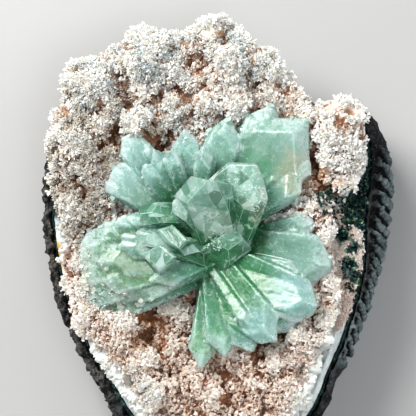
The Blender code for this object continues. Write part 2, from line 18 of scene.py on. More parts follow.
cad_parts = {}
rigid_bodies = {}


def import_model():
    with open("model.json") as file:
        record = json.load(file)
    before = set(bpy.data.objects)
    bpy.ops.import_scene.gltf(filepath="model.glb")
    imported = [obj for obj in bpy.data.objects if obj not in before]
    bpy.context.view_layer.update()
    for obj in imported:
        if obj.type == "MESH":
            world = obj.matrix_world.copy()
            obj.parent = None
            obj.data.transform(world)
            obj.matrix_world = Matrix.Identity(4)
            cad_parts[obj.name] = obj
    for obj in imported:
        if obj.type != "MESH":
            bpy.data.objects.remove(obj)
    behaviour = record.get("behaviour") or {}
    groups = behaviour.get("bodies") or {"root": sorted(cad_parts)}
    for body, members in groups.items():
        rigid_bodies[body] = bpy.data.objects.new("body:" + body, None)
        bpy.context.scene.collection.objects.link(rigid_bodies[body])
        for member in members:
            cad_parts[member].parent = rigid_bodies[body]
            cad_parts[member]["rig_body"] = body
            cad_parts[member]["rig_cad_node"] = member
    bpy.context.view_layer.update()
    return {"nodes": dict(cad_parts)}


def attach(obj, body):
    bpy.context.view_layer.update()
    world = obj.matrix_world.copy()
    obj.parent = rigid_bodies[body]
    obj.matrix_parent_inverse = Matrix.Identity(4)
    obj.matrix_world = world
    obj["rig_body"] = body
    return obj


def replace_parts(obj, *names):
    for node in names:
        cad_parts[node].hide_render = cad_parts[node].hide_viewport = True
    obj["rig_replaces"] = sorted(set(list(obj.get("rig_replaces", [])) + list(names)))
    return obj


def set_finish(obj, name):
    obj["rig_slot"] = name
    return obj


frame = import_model()
MM = 0.001
print("nodes:", ", ".join(sorted(frame["nodes"])))

# %% [markdown]
# ## Wiring nodes
#
# Geometry and materials are both made with nodes here. A node could be added and linked in four
# or five lines, but a material has dozens of them. So one helper adds a node, sets its options
# and fills its inputs, where an input takes either a plain value or another node's output.

# %% Helpers for node trees
def add_node(tree, kind, inputs=None, **settings):
    """Add a node; an input takes a plain value, a colour of three numbers or a socket to link."""
    made = tree.nodes.new(kind)
    for name, value in settings.items():
        setattr(made, name, value)
    for name, value in (inputs or {}).items():
        if isinstance(value, bpy.types.NodeSocket):
            tree.links.new(value, made.inputs[name])
        elif made.inputs[name].type == "RGBA":
            made.inputs[name].default_value = (*value, 1.0)
        else:
            made.inputs[name].default_value = value
    return made


def calculate(tree, operation, *values):
    """One step of arithmetic on numbers."""
    return add_node(tree, "ShaderNodeMath", dict(enumerate(values)), operation=operation).outputs[0]


def combine(tree, operation, *values):
    """One step of arithmetic on vectors; a distance or a dot product is a number."""
    node = add_node(tree, "ShaderNodeVectorMath", dict(enumerate(values)), operation=operation)
    return node.outputs["Value" if operation in ("DISTANCE", "DOT_PRODUCT") else "Vector"]


def axes(tree, vector):
    """The X, Y and Z of a vector."""
    return add_node(tree, "ShaderNodeSeparateXYZ", {0: vector}).outputs


def fade(tree, value, start, end, low=0.0, high=1.0):
    """Turn start..end into low..high, softly and without going past either."""
    inputs = {"Value": value, "From Min": start, "From Max": end, "To Min": low, "To Max": high}
    return add_node(tree, "ShaderNodeMapRange", inputs, interpolation_type="SMOOTHSTEP").outputs["Result"]


def noise_of(tree, place, size, detail=2.0, roughness=0.5):
    """Cloudy noise from 0 to 1 whose blobs are about size mm across."""
    inputs = {"Vector": place, "Scale": 1 / (size * MM), "Detail": detail, "Roughness": roughness}
    return add_node(tree, "ShaderNodeTexNoise", inputs).outputs[0]


def swing_of(tree, place, size, detail=2.0, roughness=0.5):
    """The same noise, from -0.5 to 0.5."""
    return calculate(tree, "SUBTRACT", noise_of(tree, place, size, detail, roughness), 0.5)


def cells_of(tree, place, size, feature="F1"):
    """Distance to the nearest of many scattered points, size mm apart: 0 at each point."""
    inputs = {"Vector": place, "Scale": 1 / (size * MM)}
    return add_node(tree, "ShaderNodeTexVoronoi", inputs, feature=feature).outputs["Distance"]


def mix(tree, amount, first, second):
    """The first colour where amount is 0, the second where it is 1."""
    return add_node(tree, "ShaderNodeMix", {0: amount, 6: first, 7: second}, data_type="RGBA").outputs[2]

# %% [markdown]
# ## The camera
#
# The photograph looks almost straight down into the open geode, from a little towards the foot
# of the specimen and a little from its right. A camera could be aimed by angles, but it is
# clearer to build its three axes: one back towards the camera, one to the right and one up.

# %% Camera
AIM = Vector((-3.19, 12.87, 33.0)) * MM
DISTANCE = 450 * MM
FIELD = 145.6 * MM
LEAN_RIGHT = math.radians(6)
LEAN_DOWN = math.radians(8)

back = Vector((math.tan(LEAN_RIGHT), -math.tan(LEAN_DOWN), 1)).normalized()
across = Vector((0, 1, 0)).cross(back).normalized()
upward = back.cross(across)
bpy.ops.object.camera_add()
camera = bpy.context.active_object
camera.name = "camera"
camera.matrix_world = Matrix.Translation(AIM + back * DISTANCE) @ Matrix(
    (across, upward, back)).transposed().to_4x4()
camera.data.lens = camera.data.sensor_width * DISTANCE / FIELD
camera.data.clip_start = 0.01
bpy.context.scene.camera = camera
print("lens in mm:", round(camera.data.lens, 1))

# %% [markdown]
# ## Floor, lamps and room
#
# The floor is a wide pale sheet under the rock. A large soft lamp from the upper left gives the
# shadows and one from the right fills them. Two small ones are there for the crystals: a flat
# face shines when it mirrors a lamp, so faces that lean different ways need lamps of their own.
# A picture of a studio could light the scene too, but four square lamps and a sky that is
# brighter above than below are a few plain numbers.

# %% Floor, lamps and the light of the room
FLOOR_SIDE = 4.0
ROOM_LOW = 0.10
ROOM_HIGH = 0.32
# The place and the side in metres, the power in watts and the tint of each lamp.
LAMPS = {
    "key": ((-0.40, 0.46, 0.62), 0.50, 10.5, (1.0, 0.985, 0.96)),
    "fill": ((0.60, -0.05, 0.48), 0.60, 1.6, (0.95, 0.98, 1.0)),
    "front": ((0.25, -0.20, 0.80), 0.35, 2.0, (0.96, 0.98, 1.0)),
    "foot": ((0.02, -0.75, 0.20), 0.28, 0.5, (1.0, 1.0, 1.0)),
}


def add_lamp(name, place, side, power, tint):
    bpy.ops.object.light_add(type="AREA", location=place)
    lamp = bpy.context.active_object
    lamp.name = "lamp_" + name
    lamp.rotation_euler = (Vector(place) - AIM).to_track_quat("Z", "Y").to_euler()
    lamp.data.size = side
    lamp.data.energy = power
    lamp.data.color = tint


for name, numbers in LAMPS.items():
    add_lamp(name, *numbers)

bpy.ops.mesh.primitive_plane_add(size=FLOOR_SIDE, location=(0, 0, 0))
floor = bpy.context.active_object
floor.name = "floor"
paint = bpy.data.materials.new("pale_floor")
paint.use_nodes = True
matt = paint.node_tree.nodes["Principled BSDF"]
matt.inputs["Base Color"].default_value = (0.38, 0.38, 0.375, 1.0)
matt.inputs["Roughness"].default_value = 0.6
floor.data.materials.append(paint)

room = bpy.data.worlds.new("room")
room.use_nodes = True
sky = room.node_tree
glow = sky.nodes["Background"]
glow.inputs["Color"].default_value = (0.9, 0.94, 1.0, 1.0)
height = axes(sky, add_node(sky, "ShaderNodeTexCoord").outputs["Generated"])["Z"]
sky.links.new(fade(sky, height, 0.0, 1.0, ROOM_LOW, ROOM_HIGH), glow.inputs["Strength"])
bpy.context.scene.world = room
bpy.context.scene.view_settings.view_transform = "Standard"
bpy.context.scene.view_settings.look = "Medium High Contrast"
print("lamps:", len(LAMPS))

# %% [markdown]
# ## Copying and roughening a solid
#
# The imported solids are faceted, with flats of a few millimetres. Broken rock and crusts have
# relief down to a grain. A sculptor would push the surface about by hand. Here a copy is
# remeshed into small even squares, and a geometry node tree pushes each point along its normal
# by several sizes of noise. The push is kept as an attribute, so that the material can darken
# what lies deep.

# %% Helpers for shape
WELD = 0.02


def pick(piece):
    """Select one object alone and make it active."""
    bpy.ops.object.select_all(action="DESELECT")
    piece.hide_viewport = False
    piece.select_set(True)
    bpy.context.view_layer.objects.active = piece


def copy_of(node, name):
    """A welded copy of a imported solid, ready to be worked on."""
    pick(frame["nodes"][node])
    bpy.ops.object.duplicate()
    piece = bpy.context.active_object
    piece.name = name
    piece.data.name = name
    piece.parent = None
    del piece["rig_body"]
    del piece["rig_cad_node"]
    bpy.ops.object.mode_set(mode="EDIT")
    bpy.ops.mesh.select_all(action="SELECT")
    bpy.ops.mesh.remove_doubles(threshold=WELD * MM)
    bpy.ops.mesh.normals_make_consistent()
    bpy.ops.object.mode_set(mode="OBJECT")
    return piece


def remesh(piece, grain):
    """Rebuild the surface from even squares, grain mm wide."""
    pick(piece)
    bpy.ops.object.modifier_add(type="REMESH")
    squares = piece.modifiers[-1]
    squares.mode = "VOXEL"
    squares.voxel_size = grain * MM
    bpy.ops.object.modifier_apply(modifier=squares.name)


def new_geometry_tree(name):
    """A geometry node tree, its incoming geometry and the place of each point."""
    tree = bpy.data.node_groups.new(name, "GeometryNodeTree")
    for way in ("INPUT", "OUTPUT"):
        tree.interface.new_socket("Geometry", in_out=way, socket_type="NodeSocketGeometry")
    place = add_node(tree, "GeometryNodeInputPosition").outputs[0]
    return tree, tree.nodes.new("NodeGroupInput").outputs["Geometry"], place


def finish_tree(tree, geometry):
    add_node(tree, "NodeGroupOutput", {"Geometry": geometry})
    return tree


def run_tree(piece, tree):
    """Apply a geometry node tree to a piece for good."""
    pick(piece)
    bpy.ops.object.modifier_add(type="NODES")
    piece.modifiers[-1].node_group = tree
    bpy.ops.object.modifier_apply(modifier=piece.modifiers[-1].name)


def keep(tree, geometry, name, value):
    """Store a number at every point under a name that a material can read."""
    inputs = {"Geometry": geometry, "Name": name, "Value": value}
    node = add_node(tree, "GeometryNodeStoreNamedAttribute", inputs, data_type="FLOAT", domain="POINT")
    return node.outputs["Geometry"]


def outward(tree):
    """The direction in which each point faces."""
    return add_node(tree, "GeometryNodeInputNormal").outputs["Normal"]


def push(tree, geometry, distance):
    """Move every point along its normal."""
    inputs = {0: outward(tree), "Scale": distance}
    offset = add_node(tree, "ShaderNodeVectorMath", inputs, operation="SCALE").outputs[0]
    inputs = {"Geometry": geometry, "Offset": offset}
    return add_node(tree, "GeometryNodeSetPosition", inputs).outputs["Geometry"]


def roughening(name, waves, sink=0.0):
    """A tree that adds noises, given as (size in mm, height in mm), and sinks all by some mm."""
    tree, geometry, place = new_geometry_tree(name)
    total = -sink * MM
    for size, height in waves:
        total = calculate(tree, "MULTIPLY_ADD", swing_of(tree, place, size), 2 * height * MM, total)
    geometry = keep(tree, geometry, "relief", calculate(tree, "MULTIPLY", total, 1 / MM))
    return finish_tree(tree, push(tree, geometry, total))


def place_piece(piece, slot, *nodes):
    """Fix a finished piece to the specimen, in place of the solids it stands for."""
    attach(piece, "root")
    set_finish(piece, slot)
    if nodes:
        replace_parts(piece, *nodes)
    piece.data.calc_loop_triangles()
    print(piece.name, "triangles:", len(piece.data.loop_triangles))

# %% [markdown]
# ## Shared effects for the materials
#
# Two effects come back in several materials. A stain is a ragged patch round a point, such as
# rust in a hollow. A speckle is a scatter of grains, such as the glints in rock. Each could be
# wired again in every material, but a node group is built once and placed with its own values.

# %% Node groups for stains and speckles
def new_shader_group(name, inputs):
    """A shader node group with named inputs, each with its kind and default, that gives a mask."""
    group = bpy.data.node_groups.new(name, "ShaderNodeTree")
    for label, kind, value in inputs:
        socket = group.interface.new_socket(label, in_out="INPUT", socket_type=kind)
        socket.default_value = value
    group.interface.new_socket("Mask", in_out="OUTPUT", socket_type="NodeSocketFloat")
    place = add_node(group, "ShaderNodeTexCoord").outputs["Object"]
    return group, group.nodes.new("NodeGroupInput").outputs, place


def make_stain_group():
    number, point = "NodeSocketFloat", "NodeSocketVector"
    inputs = [("Centre", point, (0, 0, 0)), ("Radius", number, 0.01), ("Raggedness", number, 0.4)]
    group, given, place = new_shader_group("stain", inputs)
    away = combine(group, "DISTANCE", place, given["Centre"])
    share = calculate(group, "DIVIDE", away, given["Radius"])
    wander = calculate(group, "MULTIPLY", swing_of(group, place, 5, 4), given["Raggedness"])
    edge = calculate(group, "MULTIPLY_ADD", wander, 4.0, share)
    add_node(group, "NodeGroupOutput", {"Mask": fade(group, edge, 1.0, 0.35)})
    return group


def make_speckle_group():
    inputs = [("Grains", "NodeSocketFloat", 1000.0), ("Share", "NodeSocketFloat", 0.2)]
    group, given, place = new_shader_group("speckle", inputs)
    grains = add_node(group, "ShaderNodeTexVoronoi", {"Vector": place, "Scale": given["Grains"]}).outputs
    shade = add_node(group, "ShaderNodeSeparateColor", {0: grains["Color"]}).outputs[0]
    chosen = calculate(group, "LESS_THAN", shade, given["Share"])
    near = fade(group, grains["Distance"], 0.55, 0.25)
    add_node(group, "NodeGroupOutput", {"Mask": calculate(group, "MULTIPLY", chosen, near)})
    return group


STAIN = make_stain_group()
SPECKLE = make_speckle_group()
print("shared effects:", STAIN.name, "and", SPECKLE.name)

# %% [markdown]
# ## Wiring a material
#
# Every material here starts in the same way: a shader, the place of each point on the piece, and
# what the shape has remembered there. These lines could be written out each time, but then the
# few that make a material different would be hard to find. So small helpers hold what repeats.

# %% Helpers for materials
def stain_mask(tree, x, y, z, radius, raggedness=0.4):
    """A ragged mask round a point given in mm."""
    node = add_node(tree, "ShaderNodeGroup", None, node_tree=STAIN)
    node.inputs["Centre"].default_value = Vector((x, y, z)) * MM
    node.inputs["Radius"].default_value = radius * MM
    node.inputs["Raggedness"].default_value = raggedness
    return node.outputs["Mask"]


def spot_masks(tree, spots, height, amount=1.0, spread=1.0, raggedness=0.4):
    """One ragged mask for each spot, given by x, y and radius in mm."""
    masks = [stain_mask(tree, x, y, height, radius * spread, raggedness) for x, y, radius in spots]
    return [calculate(tree, "MULTIPLY", mask, amount) for mask in masks]


def speckle_mask(tree, size, share):
    """A mask of grains about size mm across, of which the given share shows."""
    node = add_node(tree, "ShaderNodeGroup", None, node_tree=SPECKLE)
    node.inputs["Grains"].default_value = 1 / (size * MM)
    node.inputs["Share"].default_value = share
    return node.outputs["Mask"]


def new_material(name, roughness, ior=1.5):
    """A material with its node tree, its shader and the place of each point."""
    material = bpy.data.materials.new(name)
    material.use_nodes = True
    tree = material.node_tree
    shader = tree.nodes["Principled BSDF"]
    shader.inputs["Roughness"].default_value = roughness
    shader.inputs["IOR"].default_value = ior
    return material, tree, shader, add_node(tree, "ShaderNodeTexCoord").outputs["Object"]


def read_attribute(tree, name):
    return add_node(tree, "ShaderNodeAttribute", None, attribute_name=name).outputs["Fac"]


def bump(tree, shader, height, strength, distance):
    """Grain too fine for the mesh; distance is in mm."""
    inputs = {"Strength": strength, "Distance": distance * MM, "Height": height}
    tree.links.new(add_node(tree, "ShaderNodeBump", inputs).outputs[0], shader.inputs["Normal"])


def dress(piece, material):
    """Give a piece one finish all over."""
    piece.data.materials.clear()
    piece.data.materials.append(material)
    print(piece.name, "wears", material.name)

# %% [markdown]
# ## The basalt bowl
#
# The bowl is fine-grained lava: nearly black where it is freshly broken, greyer on the ribbed
# wall, with pits from gas bubbles and tiny bright grains, painted as light specks that also stand
# in for their glints. The wall on the left is broken into small teeth. Each groove and tooth could
# be sculpted, but the ribs repeat at an even pitch, so one formula of the angle round the bowl
# deepens all their grooves, and one noise makes the teeth. Lumps of 4 mm down to grain come after
# them, and the underside is kept flat.

# %% Basalt shape
BASALT_GRAIN = 0.85
RIB_PITCH = 4.375
RIB_START = -40.0
RIB_END = 30.0
RIB_SLANT = 0.16
RIB_WANDER = 2.4
PAST_ALL_ANGLES = 400.0
BULGE_HEIGHT = 10.0
GROOVE_DEPTH = 2.6
RIM_HEIGHT = 34.8
TOOTH_SIZE = 2.8
TOOTH_HEIGHT = 2.6


def angle_of(tree, x, y):
    """The direction of a place from the middle of the bowl, in degrees, 0 on the right."""
    return calculate(tree, "MULTIPLY", calculate(tree, "ARCTAN2", y, x), math.degrees(1))


def wall_tree():
    """Deepen the grooves between the ribs, which slant as they go down, and raise the teeth."""
    tree, geometry, place = new_geometry_tree("wall_relief")
    x, y, z = axes(tree, place)
    angle = angle_of(tree, x, y)
    level = calculate(tree, "MULTIPLY_ADD", z, 1 / MM, -BULGE_HEIGHT)
    along_wall = calculate(tree, "MULTIPLY_ADD", level, -RIB_SLANT, angle)
    along_wall = calculate(tree, "MULTIPLY_ADD", swing_of(tree, place, 9), RIB_WANDER, along_wall)
    count = calculate(tree, "DIVIDE", calculate(tree, "ADD", along_wall, PAST_ALL_ANGLES), RIB_PITCH)
    off_middle = calculate(tree, "SUBTRACT", calculate(tree, "FRACT", count), 0.5)
    groove = fade(tree, calculate(tree, "PINGPONG", off_middle, 0.5), 0.17, 0.36)
    ribbed = calculate(tree, "MULTIPLY", fade(tree, angle, RIB_START - 6, RIB_START + 2),
                       fade(tree, angle, RIB_END + 5, RIB_END - 3))
    facing = fade(tree, combine(tree, "DOT_PRODUCT", outward(tree), place), 15 * MM, 35 * MM)
    depth = calculate(tree, "MULTIPLY", calculate(tree, "MULTIPLY", groove, ribbed), facing)
    geometry = keep(tree, geometry, "groove", depth)
    teeth = calculate(tree, "SUBTRACT", noise_of(tree, place, TOOTH_SIZE, 2), 0.45)
    teeth = calculate(tree, "MULTIPLY", teeth, fade(tree, x, -25 * MM, -40 * MM))
    teeth = calculate(tree, "MULTIPLY", teeth, fade(tree, z, 12 * MM, 22 * MM, 0.3, 1.0))
    total = calculate(tree, "MULTIPLY", depth, -GROOVE_DEPTH * MM)
    total = calculate(tree, "MULTIPLY_ADD", teeth, 2 * TOOTH_HEIGHT * MM, total)
    return finish_tree(tree, push(tree, geometry, total))


basalt = copy_of("basalt_matrix", "basalt_rock")
remesh(basalt, BASALT_GRAIN)
run_tree(basalt, wall_tree())
run_tree(basalt, roughening("basalt_relief", [(4.5, 0.8), (2.2, 0.8), (1.2, 0.5)], sink=0.3))
for vert in basalt.data.vertices:
    vert.co.z = max(vert.co.z, 0.0)  # the specimen rests on a flat underside
place_piece(basalt, "basalt", "basalt_matrix")

# %% [markdown]
# ## The look of the basalt
#
# Freshly broken lava is nearly black, and the ribbed wall has a dull grey skin that stops just
# below the rim. A flat colour would look like plastic. So the colour follows the same angle as
# the ribs, and painted shade darkens the grooves and hollows at the depths that the shape remembers.

# %% Basalt finish
PAINTED_SHADE_BLACK = (0.003, 0.003, 0.004)


def basalt_material():
    material, tree, shader, place = new_material("basalt", 0.85)
    shader.inputs["Specular IOR Level"].default_value = 0.3
    x, y, z = axes(tree, place)
    mottling = fade(tree, noise_of(tree, place, 6, 5, 0.65), 0.38, 0.66)
    shade = mix(tree, mottling, (0.006, 0.0065, 0.008), (0.055, 0.057, 0.06))
    angle = angle_of(tree, x, y)
    ribs = calculate(tree, "MULTIPLY", fade(tree, angle, RIB_START - 8, RIB_START),
                     fade(tree, angle, RIB_END + 4, RIB_END - 8))
    height = calculate(tree, "MULTIPLY_ADD", swing_of(tree, place, 5, 3), 6 * MM, z)
    below_rim = fade(tree, height, RIM_HEIGHT * MM, (RIM_HEIGHT - 3) * MM)
    ribs = calculate(tree, "MULTIPLY", ribs, below_rim)
    dusty = fade(tree, noise_of(tree, place, 2.5, 5, 0.7), 0.35, 0.65)
    shade = mix(tree, ribs, shade, mix(tree, dusty, (0.09, 0.12, 0.125), (0.30, 0.36, 0.36)))
    left_wall = calculate(tree, "MULTIPLY", fade(tree, x, -30 * MM, -45 * MM),
                          fade(tree, noise_of(tree, place, 3, 5, 0.7), 0.42, 0.62))
    shade = mix(tree, calculate(tree, "MULTIPLY", left_wall, 0.8), shade, (0.15, 0.14, 0.12))
    # Painted shade: the grooves and the deep hollows are darkened towards black.
    for label, start, end in (("groove", 0.1, 0.5), ("relief", -0.3, -1.2)):
        shade = mix(tree, fade(tree, read_attribute(tree, label), start, end), shade, PAINTED_SHADE_BLACK)
    # Light specks: tiny bright grains, with a painted glint on them.
    shade = mix(tree, speckle_mask(tree, 0.4, 0.05), shade, (0.22, 0.24, 0.24))
    tree.links.new(shade, shader.inputs["Base Color"])
    bump(tree, shader, noise_of(tree, place, 0.9, 6, 0.7), 1.0, 0.9)
    return material


dress(basalt, basalt_material())

# %% [markdown]
# ## The celadonite skin
#
# A thin earthy layer of teal clay mineral lies between the rock and the pale lining. It swells
# to one patch of dark green crystals on the right. A painted stripe would look flat at the broken
# rim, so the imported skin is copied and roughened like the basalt, at a finer grain.

# %% Celadonite shape and finish
CELADONITE_GRAIN = 0.42


def celadonite_material():
    material, tree, shader, place = new_material("celadonite", 0.6)
    mottling = fade(tree, noise_of(tree, place, 3, 5, 0.65), 0.35, 0.65)
    shade = mix(tree, mottling, (0.002, 0.007, 0.007), (0.012, 0.05, 0.047))
    shade = mix(tree, speckle_mask(tree, 0.5, 0.10), shade, (0.14, 0.26, 0.17))
    tree.links.new(shade, shader.inputs["Base Color"])
    bump(tree, shader, noise_of(tree, place, 0.6, 5, 0.7), 0.6, 0.25)
    return material


celadonite = copy_of("celadonite_seam", "celadonite_skin")
remesh(celadonite, CELADONITE_GRAIN)
run_tree(celadonite, roughening("celadonite_relief", [(3.0, 0.9), (1.4, 0.7)]))
place_piece(celadonite, "celadonite", "celadonite_seam")
dress(celadonite, celadonite_material())

# %% [markdown]
# ## The chalcedony band
#
# Chalcedony is quartz too fine to see, bluish white and waxy, so light goes a little way into
# it. Its four small hollows are lined with teal, the crust creeps over it on the right, and in
# places, mostly on the left, it is stained dark or ochre. Those stains could be painted on a
# picture, but here each is a ragged spot with a place and a radius, so one number moves or widens
# it. Lists like these also tell the later steps where crystals grow and where the border of the
# crust is bare.

# %% Places along the border
# Each spot is given by x, y and radius in mm.
HOLLOWS = [(43.7, 2.3, 3.4), (47.2, -1.9, 2.8), (45.7, -7.7, 3.6), (47.9, -12.7, 3.2)]
HOLLOW_HEIGHT = 34.5
CREEPING_CRUST = [(42, 6, 8), (46, 0, 8), (46, -8, 8), (46, -15, 8), (44, -22, 7), (40, -27, 4)]
DARK_STAINS = [(-56, -22, 10), (-52, -34, 9), (-48, -42, 8), (-57, 14, 8), (55, 10, 7), (52, -10, 5)]
OCHRE_STAINS = [(-57.5, 0, 5), (-57, -5, 4)]
DARK_PATCHES = [(38.4, 14.8, 3.6), (42.1, 12.4, 5.2), (45.5, 13.5, 4.2), (44.8, 7.8, 3.8), (48.0, 8.5, 3.4),
                (46.2, -14.9, 2.6), (45.6, -12.2, 2.2)]
SEAM_PATCHES = [(50, 14, 9), (52, 24, 9), (52, 4, 6)]
BARE_LEFT = [(-58, 15, 3.4), (-57, 9, 4.0), (-56, 3, 4.0), (-56, -3, 2.4), (-45, -34, 3.0), (-41, -40, 3.8),
             (-36.5, -46, 4.2), (-32.5, -52, 4.6), (-28.5, -58, 4.6), (-22, -64, 4.6)]
BARE_RIGHT = [(44.5, -22, 3.4), (43, -28, 4.2), (40.5, -34, 4.6), (37.5, -40, 4.8), (34.5, -46, 4.6),
              (32, -52, 4.2), (28.5, -58, 4.2), (22, -64, 4.2), (49.6, 20, 2.8), (52.2, 26, 3.0),
              (53, 32, 3.0), (52, 38, 3.0), (48, 43.5, 3.0), (41, 45.5, 3.0)]
BARE_BORDERS = BARE_LEFT + BARE_RIGHT
print("bare spots on the border:", len(BARE_BORDERS))

# %% [markdown]
# ## Shaping the band
#
# Beside the broken rock the band looks smooth, and only swells a little. Carving it would make it
# lively where it should be calm. So its copy gets two gentle noises, and the colour does the
# rest: clouds first, then grime, then the stains over both.

# %% Chalcedony shape and finish
CHALCEDONY_GRAIN = 0.5
STAIN_HEIGHT = 30


def chalcedony_material():
    material, tree, shader, place = new_material("chalcedony", 0.34, 1.54)
    shader.inputs["Subsurface Weight"].default_value = 0.25
    shader.inputs["Subsurface Radius"].default_value = (1.0, 1.0, 1.0)
    shader.inputs["Subsurface Scale"].default_value = 1.2 * MM
    clouds = fade(tree, noise_of(tree, place, 9, 4), 0.35, 0.65)
    shade = mix(tree, clouds, (0.5, 0.56, 0.56), (0.72, 0.76, 0.74))
    grime = fade(tree, noise_of(tree, place, 3, 5, 0.7), 0.53, 0.66)
    shade = mix(tree, calculate(tree, "MULTIPLY", grime, 0.7), shade, (0.30, 0.24, 0.18))
    for mask in spot_masks(tree, DARK_STAINS, STAIN_HEIGHT, 0.92, 1.0, 0.8):
        shade = mix(tree, mask, shade, (0.012, 0.035, 0.033))
    for mask in spot_masks(tree, OCHRE_STAINS, STAIN_HEIGHT, 1.0, 1.0, 0.6):
        shade = mix(tree, mask, shade, (0.55, 0.36, 0.12))
    for mask in spot_masks(tree, CREEPING_CRUST, HOLLOW_HEIGHT, 0.8, 1.2, 0.3):
        shade = mix(tree, mask, shade, (0.66, 0.47, 0.36))
    for mask in spot_masks(tree, HOLLOWS, HOLLOW_HEIGHT, 1.0, 1.2, 0.35):
        shade = mix(tree, mask, shade, (0.01, 0.06, 0.065))
    tree.links.new(shade, shader.inputs["Base Color"])
    bump(tree, shader, noise_of(tree, place, 1.2, 4), 0.25, 0.2)
    return material


chalcedony = copy_of("chalcedony_lining", "chalcedony_band")
remesh(chalcedony, CHALCEDONY_GRAIN)
run_tree(chalcedony, roughening("chalcedony_relief", [(5.0, 0.3), (1.8, 0.12)]))
place_piece(chalcedony, "chalcedony", "chalcedony_lining")
dress(chalcedony, chalcedony_material())

# %% [markdown]
# ## The bed of the druse
#
# The crust is a dense growth of crystals a millimetre or two long. They stand on a bed that is
# rust brown in the hollows between them, and darkened there by painted shade as well. The bed is
# the imported crust, sunk by the length of a crystal and broken into small mounds, so that the
# crystals reach back to the imported surface. Its points remember how hollow the ground is: the
# height above the average of what is round them.

# %% Druse bed shape
BED_GRAIN = 0.8
CRYSTAL_REACH = 1.1
MOUND_SIZES = [(9.5, 9.0), (3.8, 3.4)]
LUMP_HEIGHT = 3.6
PIT_SIZE = 1.9
PIT_DEPTH = 0.9
HOLLOW_SINK = 1.6
NARROW_BLUR = 14
WIDE_BLUR = 70


def bend(tree, place, size, reach):
    """Move places about by noise, so that straight or round patterns on them come out uneven."""
    inputs = {"Vector": place, "Scale": 1 / (size * MM)}
    noise = add_node(tree, "ShaderNodeTexNoise", inputs).outputs["Color"]
    return combine(tree, "MULTIPLY_ADD", noise, (reach * MM,) * 3, place)


def mounds(tree, place, size, height):
    """Rounded mounds with narrow creases between them, as on a cauliflower, in mm."""
    far = cells_of(tree, place, size, "SMOOTH_F1")
    dome = calculate(tree, "SUBTRACT", 0.40, calculate(tree, "MULTIPLY", far, far))
    return calculate(tree, "MULTIPLY", dome, height * MM)


def height_above_mean(tree, place, steps):
    """How far a point stands above the average of its neighbours, in mm."""
    inputs = {"Value": place, "Iterations": steps}
    mean = add_node(tree, "GeometryNodeBlurAttribute", inputs, data_type="FLOAT_VECTOR").outputs[0]
    off = combine(tree, "SUBTRACT", place, mean)
    return calculate(tree, "MULTIPLY", combine(tree, "DOT_PRODUCT", off, outward(tree)), 1 / MM)


def bed_tree():
    """Mounds and lumps, weaker on steep ground, then rusty hollows and pits sunk into them."""
    tree, geometry, place = new_geometry_tree("druse_bed_relief")
    bent = bend(tree, place, 7, 5)
    total = calculate(tree, "MULTIPLY_ADD", swing_of(tree, place, 6, 3), LUMP_HEIGHT * MM,
                      -CRYSTAL_REACH * MM)
    for size, height in MOUND_SIZES:
        total = calculate(tree, "ADD", total, mounds(tree, bent, size, height))
    up = axes(tree, outward(tree))["Z"]
    total = calculate(tree, "MULTIPLY", total, fade(tree, up, 0.0, 0.4, 0.25, 1.0))
    rust = calculate(tree, "MULTIPLY_ADD", noise_of(tree, place, 16, 1), 0.6, noise_of(tree, place, 5.5, 3))
    rust = fade(tree, rust, 0.80, 0.96)
    total = calculate(tree, "MULTIPLY_ADD", rust, -HOLLOW_SINK * MM, total)
    pit = calculate(tree, "MULTIPLY_ADD", rust, 0.09, noise_of(tree, place, PIT_SIZE, 1))
    pit = fade(tree, pit, 0.54, 0.64)
    total = calculate(tree, "MULTIPLY_ADD", pit, -PIT_DEPTH * MM, total)
    geometry = keep(tree, geometry, "pit", pit)
    geometry = keep(tree, geometry, "rust", rust)
    geometry = push(tree, geometry, total)
    geometry = keep(tree, geometry, "rise", height_above_mean(tree, place, NARROW_BLUR))
    geometry = keep(tree, geometry, "swell", height_above_mean(tree, place, WIDE_BLUR))
    return finish_tree(tree, geometry)


bed = copy_of("druse_crust", "druse_bed")
remesh(bed, BED_GRAIN)
run_tree(bed, bed_tree())
for label in ("rise", "swell", "pit", "rust"):
    levels = np.zeros(len(bed.data.vertices))
    bed.data.attributes[label].data.foreach_get("value", levels)
    print(label, "of the bed at 10, 50 and 90 percent:", np.percentile(levels, [10, 50, 90]).round(2))

# %% [markdown]
# ## Tufts of tiny crystals
#
# Each crystal is a small wedge that widens from its root to a slanting end. Under a lens they
# stand in tufts that fan out from one root. A handful of tufts is modelled once, each from a few
# wedges, and a geometry node tree then scatters and turns thousands of copies over the bed. The
# copies are made real meshes, because loose copies would be lost when the model is exported.
# Every wedge has only four triangles, because there are so many.

# %% Tuft models
# How many flakes, their length, width and thickness in mm, and how far they lean, in radians.
TUFTS = {
    "coarse": (6, 1.75, 0.62, 0.42, 0.70),
    "plates": (6, 1.50, 0.80, 0.34, 0.85),
    "needles": (7, 1.85, 0.46, 0.36, 0.65),
    "blocks": (6, 1.30, 0.70, 0.50, 0.80),
    "fine": (6, 1.25, 0.52, 0.38, 0.85),
}
CHISEL = 0.35
TURN_BETWEEN_FLAKES = 2.4


def add_flake(length, width, thickness, lean, turn):
    """One crystal that widens from its root at the origin to a slanting three-sided end."""
    bpy.ops.mesh.primitive_cone_add(vertices=3, radius1=0.6, radius2=0, depth=1,
                                    location=(0, 0, 0.5), rotation=(math.pi, 0, 0))
    flake = bpy.context.active_object
    bpy.ops.object.transform_apply(location=True, rotation=True, scale=True)
    for vert in flake.data.vertices:
        if abs(vert.co.x) < 0.1 and vert.co.z > 0.5:
            vert.co.z -= CHISEL
    flake.data.transform(Matrix.Rotation(turn, 4, "Z") @ Matrix.Rotation(lean, 4, "Y")
                         @ Matrix.Diagonal((width, thickness, length, 1.0)))
    return flake


